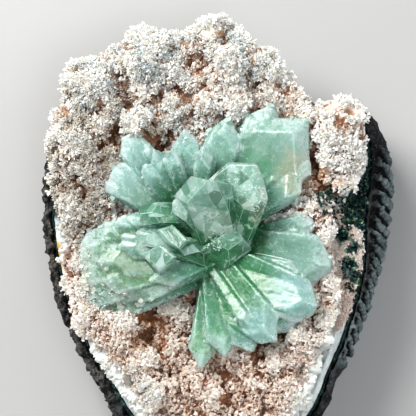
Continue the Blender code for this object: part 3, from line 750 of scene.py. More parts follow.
def make_tuft(name, count, length, width, thickness, spread):
    """A fan of crystals that share a root, with their tips marked for the material."""
    flakes = []
    for k in range(count):
        size = length * MM * draw.uniform(0.65, 1.1)
        lean = 0.1 if k == 0 else draw.uniform(0.45, 1.0) * spread
        turn = k * TURN_BETWEEN_FLAKES + draw.uniform(-0.4, 0.4)
        flakes.append(add_flake(size, width * MM, thickness * MM, lean, turn))
    bpy.ops.object.select_all(action="DESELECT")
    for flake in flakes:
        flake.select_set(True)
    bpy.context.view_layer.objects.active = flakes[0]
    bpy.ops.object.join()
    tuft = bpy.context.active_object
    tuft.name = "tuft_" + name
    tip = tuft.data.attributes.new("tip", "FLOAT", "POINT")
    for vert, level in zip(tuft.data.vertices, tip.data):
        level.value = min(1.0, vert.co.length / (length * MM))
    return tuft


draw = random.Random(11)
tufts = {name: make_tuft(name, *numbers) for name, numbers in TUFTS.items()}
print("tufts:", {name: len(tuft.data.polygons) for name, tuft in tufts.items()})

# %% [markdown]
# ## Scattering
#
# Crystals that start together compete for room, so their roots keep a distance. Copies could be
# set out on a grid and shaken, but a grid shows through. Here points are thrown at random, and
# those too close together are left out. The crystals are larger towards the head, smaller on low
# and rusty ground, and there are none in pits, on dark patches or on the bare border.

# %% Scattering the tufts
LOWEST_UPRIGHT = 0.12
PIT_FLOOR = -0.7
PIT_EDGE = -0.2
FOOT = -50.0
HEAD = 60.0


def stored(tree, label):
    """A number that was kept at every point under this name."""
    inputs = {"Name": label}
    return add_node(tree, "GeometryNodeInputNamedAttribute", inputs, data_type="FLOAT").outputs[0]


def random_number(tree, low, high, seed):
    inputs = {2: low, 3: high, "Seed": seed}
    return add_node(tree, "FunctionNodeRandomValue", inputs, data_type="FLOAT").outputs[1]


def random_vector(tree, low, high, seed):
    inputs = {0: (low,) * 3, 1: (high,) * 3, "Seed": seed}
    return add_node(tree, "FunctionNodeRandomValue", inputs, data_type="FLOAT_VECTOR").outputs[0]


def patch_cover(tree, place, spots):
    """How much a place is inside ragged round patches, each given by x, y and radius in mm."""
    flat = combine(tree, "MULTIPLY", place, (1, 1, 0))
    wander = swing_of(tree, place, 3, 3)
    cover = 0.0
    for x, y, radius in spots:
        away = combine(tree, "DISTANCE", flat, Vector((x, y, 0)) * MM)
        away = calculate(tree, "MULTIPLY_ADD", wander, radius * MM, away)
        cover = calculate(tree, "MAXIMUM", cover, fade(tree, away, radius * MM, 0.8 * radius * MM))
    return cover


def spread_points(tree, geometry, steepest, gap, density, seed, share=1.0):
    """Random points at least gap mm apart, on ground whose normal rises more than steepest."""
    chosen = calculate(tree, "GREATER_THAN", axes(tree, outward(tree))["Z"], steepest)
    inputs = {"Mesh": geometry, "Selection": chosen, "Distance Min": gap * MM, "Density Max": density,
              "Density Factor": share, "Seed": seed}
    return add_node(tree, "GeometryNodeDistributePointsOnFaces", inputs,
                    distribute_method="POISSON").outputs


def put_copies(tree, points, model, turn, size):
    """End a tree with real copies of a model on points, with these turns and sizes."""
    shape = add_node(tree, "GeometryNodeObjectInfo", {"Object": model}).outputs["Geometry"]
    inputs = {"Points": points, "Instance": shape, "Rotation": turn, "Scale": size}
    copies = add_node(tree, "GeometryNodeInstanceOnPoints", inputs).outputs[0]
    return finish_tree(tree, add_node(tree, "GeometryNodeRealizeInstances", {0: copies}).outputs[0])


def scatter_tree(name, tuft, gap, density, seed, big, small, inside=(), outside=()):
    """Stand copies of a tuft on the bed, at least gap mm apart, small low down and big high up."""
    tree, geometry, place = new_geometry_tree(name)
    rise = stored(tree, "rise")
    cover = calculate(tree, "MULTIPLY", fade(tree, rise, PIT_FLOOR, PIT_EDGE),
                      fade(tree, stored(tree, "pit"), 0.75, 0.3))
    if inside:
        cover = calculate(tree, "MULTIPLY", cover, patch_cover(tree, place, inside))
    if outside:
        away = calculate(tree, "SUBTRACT", 1.0, patch_cover(tree, place, outside))
        cover = calculate(tree, "MULTIPLY", cover, away)
    spots = spread_points(tree, geometry, LOWEST_UPRIGHT, gap, density, seed, cover)
    lean = combine(tree, "ADD", spots["Normal"], random_vector(tree, -0.5, 0.5, seed))
    aim = add_node(tree, "FunctionNodeAlignRotationToVector", {"Vector": lean}, axis="Z").outputs[0]
    inputs = {"Axis": (0, 0, 1), "Angle": random_number(tree, 0.0, math.tau, seed + 1)}
    spin = add_node(tree, "FunctionNodeAxisAngleToRotation", inputs).outputs[0]
    turn = add_node(tree, "FunctionNodeRotateRotation", {0: aim, 1: spin}, rotation_space="LOCAL").outputs[0]
    size = fade(tree, axes(tree, place)["Y"], FOOT * MM, HEAD * MM, small, big)
    size = calculate(tree, "MULTIPLY", size, random_number(tree, 0.65, 1.25, seed + 2))
    size = calculate(tree, "MULTIPLY", size, fade(tree, rise, PIT_FLOOR, 0.3, 0.7, 1.1))
    size = calculate(tree, "MULTIPLY", size, fade(tree, stored(tree, "rust"), 0.2, 1.0, 1.05, 0.65))
    points = keep(tree, spots["Points"], "tone", random_number(tree, 0.0, 1.0, seed + 3))
    return put_copies(tree, points, tuft, turn, size)


print("crystals thin out from", -PIT_EDGE, "to", -PIT_FLOOR, "mm below the ground around them")

# %% [markdown]
# ## The look of the crust
#
# The crystals are cream to white at their tips and rust brown at their roots, where iron has
# stained them. The lumps at the head of the specimen are the whitest, the foot is pinker, and
# some hollows are deep orange. Wide mounds get a painted highlight, and low ground and wide
# hollows get painted shade. All of it comes from attributes that the scatter kept and from
# stains at measured places, so nothing depends on a picture.

# %% Druse finish
# Each spot is given by x, y and radius in mm.
RUST_SPOTS = [(4, 56, 9), (-22, 45, 8), (22, 48, 7), (-8, 62, 6), (33, 24, 7), (-24, -32, 7),
              (-34, -2, 5), (43, 24, 6), (-40, 40, 6), (12, 44, 6), (45, 33, 5),
              (42, 40, 4), (48, 27, 4)]
GREY_SPOTS = [(-44, 30, 15), (-36, 46, 10), (-50, 10, 12), (-20, -20, 9)]
WHITE_SPOTS = [(-22, 68, 12), (-48, 58, 10), (2, 74, 9), (16, 64, 10), (-27, 43, 6),
               (-30, -50, 9), (-13, 43, 7)]


def druse_colour(tree, place, depth, tone):
    """Cream tips over rust, with the drift of colour over the whole crust, a painted highlight on wide mounds
    and painted shade in wide hollows.
    """
    northing = axes(tree, place)["Y"]
    pinkness = fade(tree, northing, 30 * MM, -45 * MM)
    tip = mix(tree, pinkness, (0.93, 0.91, 0.86), (0.90, 0.77, 0.67))
    brown = calculate(tree, "MULTIPLY_ADD", tone, 0.5, read_attribute(tree, "rust"))
    brown = fade(tree, brown, 0.35, 1.3, 0.0, 0.9)
    tip = mix(tree, brown, tip, (0.50, 0.25, 0.13))
    root = mix(tree, noise_of(tree, place, 8, 3), (0.14, 0.055, 0.02), (0.36, 0.16, 0.075))
    root = mix(tree, fade(tree, northing, 28 * MM, 50 * MM, 0.0, 0.7), root, (0.52, 0.33, 0.22))
    for mask in spot_masks(tree, GREY_SPOTS, 38, 0.85, 1.6):
        tip = mix(tree, mask, tip, (0.46, 0.42, 0.36))
    for mask in spot_masks(tree, RUST_SPOTS, 36, 0.6, 1.5, 0.7):
        tip = mix(tree, mask, tip, (0.66, 0.38, 0.21))
        root = mix(tree, mask, root, (0.30, 0.09, 0.025))
    for mask in spot_masks(tree, WHITE_SPOTS, 44, 0.85, 1.6):
        tip = mix(tree, mask, tip, (0.67, 0.71, 0.70))
        root = mix(tree, mask, root, (0.5, 0.34, 0.22))
    shade = mix(tree, depth, tip, root)
    # Painted highlight on the tops of wide mounds, and warm brown painted shade in wide hollows.
    swell = read_attribute(tree, "swell")
    shade = mix(tree, fade(tree, swell, 0.5, 1.9, 0.0, 0.65), shade, (0.91, 0.89, 0.83))
    return mix(tree, fade(tree, swell, 0.15, -1.4, 0.0, 0.85), shade, (0.21, 0.095, 0.045))


def bed_material():
    material, tree, shader, place = new_material("druse_bed", 0.7)
    # Low ground takes the root colour: partly rust, partly painted shade in the creases.
    depth = fade(tree, read_attribute(tree, "rise"), 1.6, 0.6)
    shade = druse_colour(tree, place, depth, noise_of(tree, place, 1.5))
    for mask in spot_masks(tree, BARE_BORDERS, 34, 1.0, 2.0, 0.2):
        shade = mix(tree, mask, shade, (0.62, 0.64, 0.61))
    for mask in spot_masks(tree, DARK_PATCHES, 36, 1.0, 1.5, 0.2):
        shade = mix(tree, mask, shade, (0.004, 0.012, 0.012))
    tree.links.new(shade, shader.inputs["Base Color"])
    bump(tree, shader, noise_of(tree, place, 0.8, 4, 0.7), 0.6, 0.3)
    return material


def tuft_material():
    material, tree, shader, place = new_material("druse_crystal", 0.3, 1.5)
    shader.inputs["Subsurface Weight"].default_value = 0.3
    shader.inputs["Subsurface Radius"].default_value = (1.2, 0.8, 0.5)
    shader.inputs["Subsurface Scale"].default_value = 0.9 * MM
    tip = fade(tree, read_attribute(tree, "tip"), 0.1, 0.65)
    # Crystals low in creases and pits keep more root colour: partly rust, partly painted shade.
    high = fade(tree, read_attribute(tree, "rise"), -0.8, 0.1)
    high = calculate(tree, "MULTIPLY", high, fade(tree, read_attribute(tree, "pit"), 0.8, 0.1))
    pale = calculate(tree, "MULTIPLY", tip, calculate(tree, "MULTIPLY_ADD", high, 0.6, 0.4))
    depth = calculate(tree, "SUBTRACT", 1.0, pale)
    shade = druse_colour(tree, place, depth, read_attribute(tree, "tone"))
    tree.links.new(shade, shader.inputs["Base Color"])
    return material


dress(bed, bed_material())
place_piece(bed, "druse", "druse_crust")

# %% [markdown]
# ## Growing the five kinds
#
# One tuft shape would repeat visibly, and a hundred would be slow. Five kinds with seeds of their
# own, each turned and sized at random, already look endless. Each kind grows on a copy of the bed
# and becomes a piece of its own.

# %% Scatter the five kinds of tuft
# The least gap in mm, the density, the seed, and the sizes at the head and at the foot.
SCATTERS = {
    "coarse": (1.15, 9.0e5, 3, 1.1, 0.7),
    "plates": (1.15, 9.0e5, 17, 1.05, 0.75),
    "needles": (1.2, 9.0e5, 31, 1.1, 0.75),
    "blocks": (1.15, 9.0e5, 47, 1.0, 0.9),
    "fine": (1.1, 9.0e5, 61, 1.0, 0.9),
}
crystal_finish = tuft_material()


def grow(host, name, tree, finish, slot):
    """A piece grown by a scatter tree on a copy of another piece."""
    pick(host)
    bpy.ops.object.duplicate()
    crop = bpy.context.active_object
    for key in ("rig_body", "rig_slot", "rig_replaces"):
        del crop[key]
    crop.parent = None
    crop.name = name
    crop.data.name = name
    run_tree(crop, tree)
    dress(crop, finish)
    place_piece(crop, slot)


for name, numbers in SCATTERS.items():
    tree = scatter_tree("scatter_" + name, tufts[name], *numbers, outside=DARK_PATCHES + BARE_BORDERS)
    grow(bed, "druse_" + name, tree, crystal_finish, "druse")

# %% [markdown]
# ## Crystals round the small hollows
#
# On the right the crust creeps over the chalcedony, up to the rims of its four hollows, and a
# patch of dark green celadonite crystals breaks through it. Both are scattered in the same way,
# inside patches that are given by their places.

# %% Crust on the chalcedony and dark crystals
RIMS = [(x, y, 0.9 * radius) for x, y, radius in HOLLOWS]
DARK_GROUNDS = [(bed, "inner", DARK_PATCHES), (chalcedony, "outer", DARK_PATCHES + HOLLOWS),
                (celadonite, "seam", DARK_PATCHES + SEAM_PATCHES)]


def dark_crystal_material():
    material, tree, shader = new_material("celadonite_crystal", 0.25, 1.6)[:3]
    tone = read_attribute(tree, "tone")
    shade = mix(tree, fade(tree, tone, 0.2, 0.75), (0.002, 0.008, 0.008), (0.012, 0.07, 0.06))
    shade = mix(tree, fade(tree, tone, 0.86, 0.98), shade, (0.16, 0.30, 0.17))
    tree.links.new(shade, shader.inputs["Base Color"])
    return material


creeping = scatter_tree("creeping_crust", tufts["fine"], 0.5, 6e6, 97, 0.8, 0.75,
                        inside=CREEPING_CRUST, outside=RIMS + DARK_PATCHES)
grow(chalcedony, "chalcedony_crystals", creeping, crystal_finish, "druse")

dark_finish = dark_crystal_material()
for host, part, places in DARK_GROUNDS:
    dark = scatter_tree("dark_" + host.name, tufts["blocks"], 0.8, 3e6, 101, 0.9, 0.9, inside=places)
    grow(host, "celadonite_crystals_" + part, dark, dark_finish, "celadonite")
for tuft in tufts.values():
    bpy.data.objects.remove(tuft)

# %% [markdown]
# ## The finish of the apophyllite
#
# Apophyllite is clear to milky. It is deep green where it is thick, near the core, and whitens
# towards the tips, where its faces are etched and dusted with frost. Single blades have stains
# and tints of their own, from the core to the tips. They could be painted by hand. Here they are
# ragged spots again, in groups named after where they lie, and each has a colour of its own.

# %% Colour spots on the apophyllite
# Each spot is given by its place and radius in mm, its amount and its colour.
UPPER_LEFT_SPOTS = [
    (-29, 32, 45, 14, 0.5, (0.54, 0.80, 0.78)), (-9, 38, 45, 7, 0.5, (0.54, 0.80, 0.78)),
]
UPPER_RIGHT_SPOTS = [
    (22, 30, 46, 13, 0.4, (0.27, 0.44, 0.37)), (15, 25, 45, 8, 0.5, (0.20, 0.45, 0.28)),
    (30, 40, 45, 8, 0.5, (0.60, 0.76, 0.72)), (33, -4, 42, 13, 0.35, (0.32, 0.49, 0.42)),
]
LEFT_SPOTS = [
    (-34, -7, 45, 12, 0.65, (0.18, 0.35, 0.24)), (6, 17, 50, 12, 0.35, (0.12, 0.34, 0.20)),
    (-32, -14, 40, 15, 0.6, (0.18, 0.34, 0.13)), (-50, -10, 40, 9, 0.7, (0.44, 0.49, 0.40)),
    (-46, -20, 38, 8, 0.6, (0.42, 0.46, 0.36)),
]
OCHRE_ON_BLADES = [
    (28, 23, 44, 8, 0.6, (0.54, 0.54, 0.38)), (16, 11, 48, 5, 0.7, (0.72, 0.66, 0.52)),
]
GREY_NEAR_TIPS = [
    (-21, 29.4, 48, 3, 0.6, (0.14, 0.24, 0.26)), (-10.5, 36, 48, 3.5, 0.6, (0.14, 0.24, 0.26)),
    (-4.5, 30, 48, 3, 0.6, (0.14, 0.24, 0.26)),
]
DEEP_GREEN_AT_CORE = [
    (10, -13, 42, 10, 0.75, (0.05, 0.29, 0.10)), (0, -3, 40, 8, 0.5, (0.08, 0.33, 0.13)),
    (12.5, 1, 38, 6, 0.85, (0.02, 0.13, 0.04)), (-10, 16, 36, 7, 0.7, (0.06, 0.26, 0.11)),
]
CROWN_SPOTS = [
    (-19, -6, 48, 6, 0.4, (0.60, 0.84, 0.76)), (-14, 0.5, 50, 5, 0.4, (0.60, 0.84, 0.76)),
    (1, 15, 57, 5, 0.7, (0.80, 0.94, 0.91)), (-12.5, 14, 50, 3.5, 0.8, (0.80, 0.94, 0.91)),
    (-6, 17, 54, 4, 0.5, (0.12, 0.26, 0.21)),
]
LOWER_SPOTS = [
    (3, -25, 39, 9, 0.6, (0.08, 0.31, 0.13)), (-5, -37, 38, 8, 0.5, (0.26, 0.48, 0.24)),
    (27, -19, 44, 8, 0.55, (0.32, 0.56, 0.57)), (15, -29, 42, 6, 0.55, (0.32, 0.56, 0.57)),
]
TINTED_SPOTS = (UPPER_LEFT_SPOTS + UPPER_RIGHT_SPOTS + LEFT_SPOTS + OCHRE_ON_BLADES + GREY_NEAR_TIPS
                + DEEP_GREEN_AT_CORE + CROWN_SPOTS + LOWER_SPOTS)
print("colour spots on the apophyllite:", len(TINTED_SPOTS))

# %% [markdown]
# ## One recipe for milky and clear
#
# Fine streaks run along each crystal and pale cracks cross it. A clear one also shows its far
# faces as light and dark patches, and has a thin whitish line along each edge. Plain glass would
# only mirror the room, so all this is wired into the colour, which follows how far along and
# across its crystal every point lies. Milky and clear differ by degree. Two separate materials
# would drift apart as they are tuned, so one function wires both and takes what differs.

# %% Apophyllite finish
APOPHYLLITE_IOR = 1.535
MILKY_TINTS = ((0.045, 0.27, 0.10), (0.19, 0.42, 0.31), (0.40, 0.62, 0.56), (0.70, 0.86, 0.84))
CLEAR_TINTS = ((0.04, 0.25, 0.09), (0.12, 0.36, 0.21), (0.27, 0.50, 0.40), (0.36, 0.58, 0.50))


def frost_cover(tree, read):
    """Frost at the tip and along both rims of the frosted blades, from the blade's own measures."""
    rim = calculate(tree, "ABSOLUTE", read(tree, "rim"))
    sides = calculate(tree, "MULTIPLY", fade(tree, rim, 0.62, 1.0), fade(tree, read(tree, "along"), 0.3, 0.7))
    cover = calculate(tree, "MAXIMUM", sides, fade(tree, read(tree, "along"), 0.72, 1.05))
    return calculate(tree, "MULTIPLY", cover, read(tree, "frost"))


def own_place(tree, read, sideways, lengthwise):
    """A place in the crystal's own measures, stretched, and apart from every other crystal's."""
    across = calculate(tree, "MULTIPLY", read(tree, "across"), sideways)
    along = calculate(tree, "MULTIPLY", read(tree, "along"), lengthwise)
    own = calculate(tree, "MULTIPLY", read(tree, "tone"), 40.0)
    return add_node(tree, "ShaderNodeCombineXYZ", {0: across, 1: along, 2: own}).outputs[0]


def streaks(tree, read):
    """Fine lines along a crystal, from its own lengthwise and sideways measures."""
    inputs = {"Vector": own_place(tree, read, 1.0, 2.5), "Scale": 1.1, "Detail": 3.0, "Roughness": 0.6}
    return add_node(tree, "ShaderNodeTexNoise", inputs).outputs[0]


def inner_mirrors(tree, read):
    """Straight-sided light and dark patches, painted reflections of the far faces of a crystal seen through
    the near one.
    """
    inputs = {"Vector": own_place(tree, read, 0.30, 4.5), "Scale": 1.0}
    patches = add_node(tree, "ShaderNodeTexVoronoi", inputs).outputs["Color"]
    return add_node(tree, "ShaderNodeSeparateColor", {0: patches}).outputs[0]


def crack_lines(tree, place):
    """Thin curved lines that come and go, where healed cracks cross the crystal."""
    bent = bend(tree, place, 6, 9)
    cracks = fade(tree, cells_of(tree, bent, 6.5, "DISTANCE_TO_EDGE"), 0.07, 0.0)
    return calculate(tree, "MULTIPLY", cracks, fade(tree, noise_of(tree, place, 3, 3), 0.42, 0.62))


def apophyllite_material(name, clearness, haze, gloss, cracking, tints, green, density):
    """
    The finish of one group of crystals.

    Clearness is the share of light that passes through. Haze blurs what lies behind, gloss is the
    polish of bare faces, and cracking is how much cracks and inner mirrors show. Tints are the
    colours from the core to the very end. Green is absorbed at the given density.
    """
    material, tree, shader, place = new_material(name, 0.12, APOPHYLLITE_IOR)
    shader.inputs["Transmission Weight"].default_value = clearness
    shader.inputs["Subsurface Weight"].default_value = 0.8
    shader.inputs["Subsurface Radius"].default_value = (0.7, 1.0, 0.85)
    shader.inputs["Subsurface Scale"].default_value = 5 * MM
    shader.inputs["Coat Roughness"].default_value = 0.06
    clouds = swing_of(tree, place, 8, 6, 0.65)
    reach = calculate(tree, "MULTIPLY_ADD", clouds, 0.6, read_attribute(tree, "along"))
    thin = fade(tree, calculate(tree, "ABSOLUTE", read_attribute(tree, "rim")), 0.35, 1.0, 0.0, 0.12)
    reach = calculate(tree, "ADD", reach, thin)
    core, middle, tip, end = tints
    shade = mix(tree, fade(tree, reach, 0.15, 0.6), core, middle)
    shade = mix(tree, fade(tree, reach, 0.45, 0.95), shade, tip)
    lines = streaks(tree, read_attribute)
    shade = mix(tree, fade(tree, lines, 0.5, 0.7, 0.0, 0.35), shade, tip)
    shade = mix(tree, fade(tree, lines, 0.48, 0.3, 0.0, 0.35), shade, core)
    wisps = fade(tree, noise_of(tree, place, 2.2, 6, 0.75), 0.5, 0.64, 0.0, 0.55)
    shade = mix(tree, wisps, shade, (0.72, 0.88, 0.82))
    for x, y, z, radius, amount, stain in TINTED_SPOTS:
        mask = calculate(tree, "MULTIPLY", stain_mask(tree, x, y, z, radius * 1.4), amount)
        shade = mix(tree, mask, shade, stain)
    shade = mix(tree, fade(tree, reach, 0.78, 1.1, 0.0, 0.7), shade, end)
    cracks = calculate(tree, "MULTIPLY", crack_lines(tree, place), cracking)
    shade = mix(tree, cracks, shade, (0.80, 0.95, 0.90))
    # Painted reflections: light and dark patches stand in for the far faces seen through the crystal.
    mirrored = inner_mirrors(tree, read_attribute)
    dark = calculate(tree, "MULTIPLY", fade(tree, mirrored, 0.4, 0.1), 0.8 * cracking)
    shade = mix(tree, dark, shade, (0.03, 0.18, 0.08))
    bright = calculate(tree, "MULTIPLY", fade(tree, mirrored, 0.74, 1.0), 0.85 * cracking)
    shade = mix(tree, bright, shade, (0.74, 0.94, 0.88))
    grains = noise_of(tree, place, 1.6, 4, 0.65)
    cover = calculate(tree, "MULTIPLY", frost_cover(tree, read_attribute), 0.5)
    frost = fade(tree, calculate(tree, "ADD", grains, cover), 0.58, 0.8)
    shade = mix(tree, calculate(tree, "MULTIPLY", frost, 0.5), shade, (0.66, 0.83, 0.78))
    # Painted glints: pale specks on the frost and the wisps.
    glints = calculate(tree, "MAXIMUM", fade(tree, cover, 0.1, 0.4),
                       calculate(tree, "MULTIPLY", wisps, cracking))
    sparkle = calculate(tree, "MULTIPLY", speckle_mask(tree, 0.4, 0.02), glints)
    shade = mix(tree, sparkle, shade, (0.80, 0.92, 0.88))
    tree.links.new(shade, shader.inputs["Base Color"])
    rough = calculate(tree, "MULTIPLY_ADD", wisps, 0.15, haze)
    rough = calculate(tree, "MULTIPLY_ADD", frost, 0.3, rough)
    tree.links.new(rough, shader.inputs["Roughness"])
    tree.links.new(fade(tree, frost, 0.1, 0.8, gloss, 0.0), shader.inputs["Coat Weight"])
    absorb = add_node(tree, "ShaderNodeVolumeAbsorption", {"Color": green, "Density": density})
    tree.links.new(absorb.outputs[0], tree.nodes["Material Output"].inputs["Volume"])
    relief = calculate(tree, "MULTIPLY_ADD", lines, 0.3, noise_of(tree, place, 4, 4, 0.6))
    bump(tree, shader, relief, 0.45, 0.7)
    return material


def edge_material():
    """The bevelled edges are a little whiter than the faces: partly worn white, partly a painted highlight
    where they catch the light.
    """
    material, tree, shader, place = new_material("apophyllite_edge", 0.2, APOPHYLLITE_IOR)
    shader.inputs["Transmission Weight"].default_value = 0.5
    shade = mix(tree, noise_of(tree, place, 4, 3), (0.40, 0.68, 0.50), (0.85, 0.95, 0.90))
    tree.links.new(shade, shader.inputs["Base Color"])
    return material


milky = apophyllite_material("apophyllite_milky", 0.4, 0.22, 0.2, 0.18, MILKY_TINTS,
                             (0.35, 0.85, 0.55), 20.0)
clear = apophyllite_material("apophyllite_clear", 0.45, 0.03, 0.5, 0.8, CLEAR_TINTS,
                             (0.30, 0.85, 0.52), 30.0)
edge = edge_material()
print("apophyllite finishes:", milky.name, clear.name, edge.name)

# %% [markdown]
# ## Grinding crystals
#
# Apophyllite grows as flat-sided prisms whose four end faces meet in a blunt point. A prism
# could be extruded and its points pulled, but then no face stays flat. Here every crystal
# starts as a block, and each flat face is one cut with the bisect operator, the way a lapidary
# would grind it. A thin bevel then gets a whiter finish, partly a painted highlight, which gives
# the edges their bright line.

# %% Helpers for crystals
SHIFT = Vector((0.31, 0.272, 0.0))
BLOCK = 0.3
EDGE_WIDTH = 0.08


def grind(faces):
    """A block cut down by faces given as (a point in mm, an outward direction)."""
    bpy.ops.mesh.primitive_cube_add(size=BLOCK)
    crystal = bpy.context.active_object
    bpy.ops.object.mode_set(mode="EDIT")
    for place, direction in faces:
        bpy.ops.mesh.select_all(action="SELECT")
        bpy.ops.mesh.bisect(plane_co=place * MM, plane_no=direction.normalized(), use_fill=True,
                            clear_outer=True, threshold=0.00001)
    bpy.ops.object.mode_set(mode="OBJECT")
    return crystal


def polish(crystal):
    """The clear finish, with a thin bevel on every edge that has a finish of its own."""
    crystal.data.materials.append(clear)
    crystal.data.materials.append(edge)
    pick(crystal)
    bpy.ops.object.modifier_add(type="BEVEL")
    bevel = crystal.modifiers[-1]
    bevel.width = EDGE_WIDTH * MM
    bevel.limit_method = "ANGLE"
    bevel.angle_limit = math.radians(10)
    bevel.material = 1
    bpy.ops.object.modifier_apply(modifier=bevel.name)
    return crystal


def mark(crystal, start, end, width, frost):
    """Store at every face corner how far along (0 to 1) and across (in mm, and -1 to 1) it lies."""
    length = end - start
    sideways = length.cross(Vector((0, 0, 1))).normalized()
    tone = draw.random()
    verts = crystal.data.vertices
    points = [verts[corner.vertex_index].co / MM - start for corner in crystal.data.loops]
    values = {"along": [point.dot(length) / length.length_squared for point in points],
              "across": [point.dot(sideways) for point in points],
              "rim": [point.dot(sideways) / (width / 2) for point in points],
              "frost": [frost] * len(points), "tone": [tone] * len(points)}
    for name, numbers in values.items():
        crystal.data.attributes.new(name, "FLOAT", "CORNER").data.foreach_set("value", numbers)
    return crystal

# %% [markdown]
# ## The milky blades
#
# The blades fan out from one core. Each is written down as it would be measured on the real
# specimen. Its sides lean in towards the tip, four end faces meet there in a blunt point, and the
# very end may be cut off square. Each could be modelled by hand, but a row of sizes is as exact
# and easier to change.

# %% Blade sizes
# Root, tip, width, thickness, roll about the length, taper, half the angle of the point, how
# much of the tip is cut off square, and how frosted the blade is.
BLADES = [
    ((-14, 12, 31), (-32.5, 38.3, 44), 10.5, 5.5, 18, 3, 42, 2.0, 1.0),
    ((-10, 6, 30), (-38.0, 27.2, 42), 14.5, 6.5, 14, 4, 46, 3.0, 1.0),
    ((-12, 12, 34), (-21.0, 31.5, 48), 5.5, 5.0, 30, 2, 40, 0.0, 0.7),
    ((-14, 12, 34), (-24.4, 26.6, 47), 6.0, 5.0, -20, 2, 48, 0.8, 0.7),
    ((-9, 8, 31), (-10.3, 38.6, 46), 9.6, 6.5, -12, 2, 40, 0.0, 0.9),
    ((-10, 12, 35), (-15.8, 31.2, 48), 6.0, 5.0, 20, 2, 46, 0.8, 0.7),
    ((-4, 10, 34), (-3.6, 32.6, 47), 6.5, 5.5, -15, 2, 38, 0.0, 0.6),
    ((-5, 6, 31), (5.2, 43.6, 45), 12.5, 6.5, -8, 3, 38, 2.0, 0.7),
    ((0, 6, 31), (20.6, 47.8, 43), 14.5, 6.5, 18, 3, 42, 0.0, 0.7),
    ((-3, 8, 32), (32.6, 41.4, 46), 26.0, 7.5, 3, 6, 45, 0.0, 0.8),
    ((6, 8, 34), (30.5, 24.0, 43), 13.0, 6.0, -20, 4, 54, 1.0, 0.9),
    ((2, 0, 31), (-50.5, -5.6, 40), 20.0, 7.6, 14, 3, 58, 3.4, 1.0),
    ((2, -3, 31), (-49.0, -15.0, 39), 17.0, 8.0, -6, 2, 56, 3.0, 1.0),
    ((0, -6, 30), (-44.0, -21.0, 36), 15.0, 7.0, -24, 3, 50, 2.4, 0.8),
    ((-18, 1, 34), (-40.5, 4.6, 42), 6.5, 5.5, 30, 1, 48, 0.5, 1.0),
    ((-14, 2, 34), (-35.0, 7.0, 43), 6.5, 5.5, -24, 1, 52, 0.6, 0.8),
    ((-12, 3, 35), (-30.5, 8.6, 44), 6.0, 5.5, 34, 1, 46, 0.4, 0.5),
    ((-8, -2, 35), (-45.5, -1.6, 42.5), 10.5, 6.0, 15, 2, 50, 1.0, 1.0),
    ((-6, -4, 36), (-41.0, -7.4, 44.5), 11.0, 6.5, -8, 2, 46, 0.6, 0.9),
    ((-4, -5, 35), (-39.5, -13.8, 43), 11.5, 6.0, 4, 2, 52, 0.8, 1.0),
    ((-3, -6, 34), (-32.0, -18.2, 41), 10.0, 6.0, -16, 2, 48, 0.6, 0.7),
    ((-6, -2, 37), (-33.5, -1.8, 46), 8.5, 6.5, -10, 1, 50, 0.4, 0.4),
    ((2, -3, 34), (-22.5, -13.8, 43), 11.0, 6.0, 20, 3, 44, 0.0, 0.4),
    ((-5, -1, 33), (35.8, -25.2, 43), 16.5, 6.5, 12, 5, 44, 2.6, 0.5),
    ((-4, -1, 33), (21.0, -35.2, 43), 13.5, 6.5, 14, 4, 40, 1.0, 0.5),
    ((2, -4, 31), (27.2, -31.4, 37), 12.0, 5.5, 10, 4, 48, 1.6, 0.7),
    ((-2, -3, 31), (-5.5, -44.0, 38), 9.0, 5.5, -14, 2, 34, 0.0, 0.9),
    ((-3, -2, 32), (3.0, -40.0, 40), 11.0, 5.5, -14, 3, 40, 0.0, 0.4),
    ((7.0, -14.4, 36.5), (35.4, -22.8, 44.4), 10.5, 6.0, -2, 2, 44, 1.0, 0.3),
    ((2.0, -22.0, 36.0), (21.4, -34.3, 43.4), 8.5, 6.0, 4, 2, 40, 0.5, 0.3),
    ((-3, -2, 31), (12.6, -38.6, 39), 10.5, 5.5, -16, 3, 44, 1.2, 0.4),
    ((-5, 2, 31), (41.6, -9.4, 41), 18.5, 6.5, 14, 5, 46, 2.6, 1.0),
    ((8, 2, 31), (34.8, 6.0, 41), 7.5, 5.5, 15, 1, 48, 1.4, 1.0),
    ((-1, 1, 21), (-1, 3, 46), 22.0, 20.0, 20, 0, 50, 2.0, 0.0),
]
WIDEST_PLACE = 0.55
BROAD_FACE_LEAN = 0.35
FACE_SLOPE = math.radians(30)


def blade_faces(root, tip, width, thickness, roll, taper, point, cut):
    """The flat faces of one blade as (a point on it, its outward direction), in mm."""
    along = (tip - root).normalized()
    upright = Vector((0, 0, 1)) - along * along.z
    facing = Matrix.Rotation(math.radians(roll), 3, along) @ upright.normalized()
    side_way = along.cross(facing)
    widest = tip - along * (WIDEST_PLACE * width)
    lean = math.tan(math.radians(taper))
    faces = []
    for side in (-1, 1):
        faces.append((widest + side * side_way * width / 2, side * side_way - lean * along))
        broad = side * facing - BROAD_FACE_LEAN * lean * along
        faces.append((widest + side * facing * thickness / 2, broad))
    sharpness = math.radians(point)
    steepness = math.sin(sharpness) / math.tan(FACE_SLOPE)
    for side in (-1, 1):
        for face in (-1, 1):
            faces.append((tip, side * math.cos(sharpness) * side_way + face * steepness * facing
                          + math.sin(sharpness) * along))
    faces.append((tip - along * cut, along))
    faces.append((root, -along))
    return faces


def cut_blade(root, tip, width, thickness, roll, taper, point, cut, frost):
    root, tip = Vector(root) + SHIFT, Vector(tip) + SHIFT
    blade = grind(blade_faces(root, tip, width, thickness, roll, taper, point, cut))
    return mark(blade, root, tip, width, frost)

# %% [markdown]
# ## Crystals beside a blade
#
# A real blade is rarely single: narrower crystals lie along it and stop short of its tip. They
# could be listed like the blades, but nobody could measure so many. So they are drawn at random
# from a fixed seed, as shares of the blade's own width, and every run gives the same ones.

# %% Side crystals of a blade
WIDTH_PER_SIDE_CRYSTAL = 6.0
# A blade more frosted than the first number has at most the second number of side crystals.
SIDE_CRYSTALS = [(0.6, 2), (0.3, 1)]


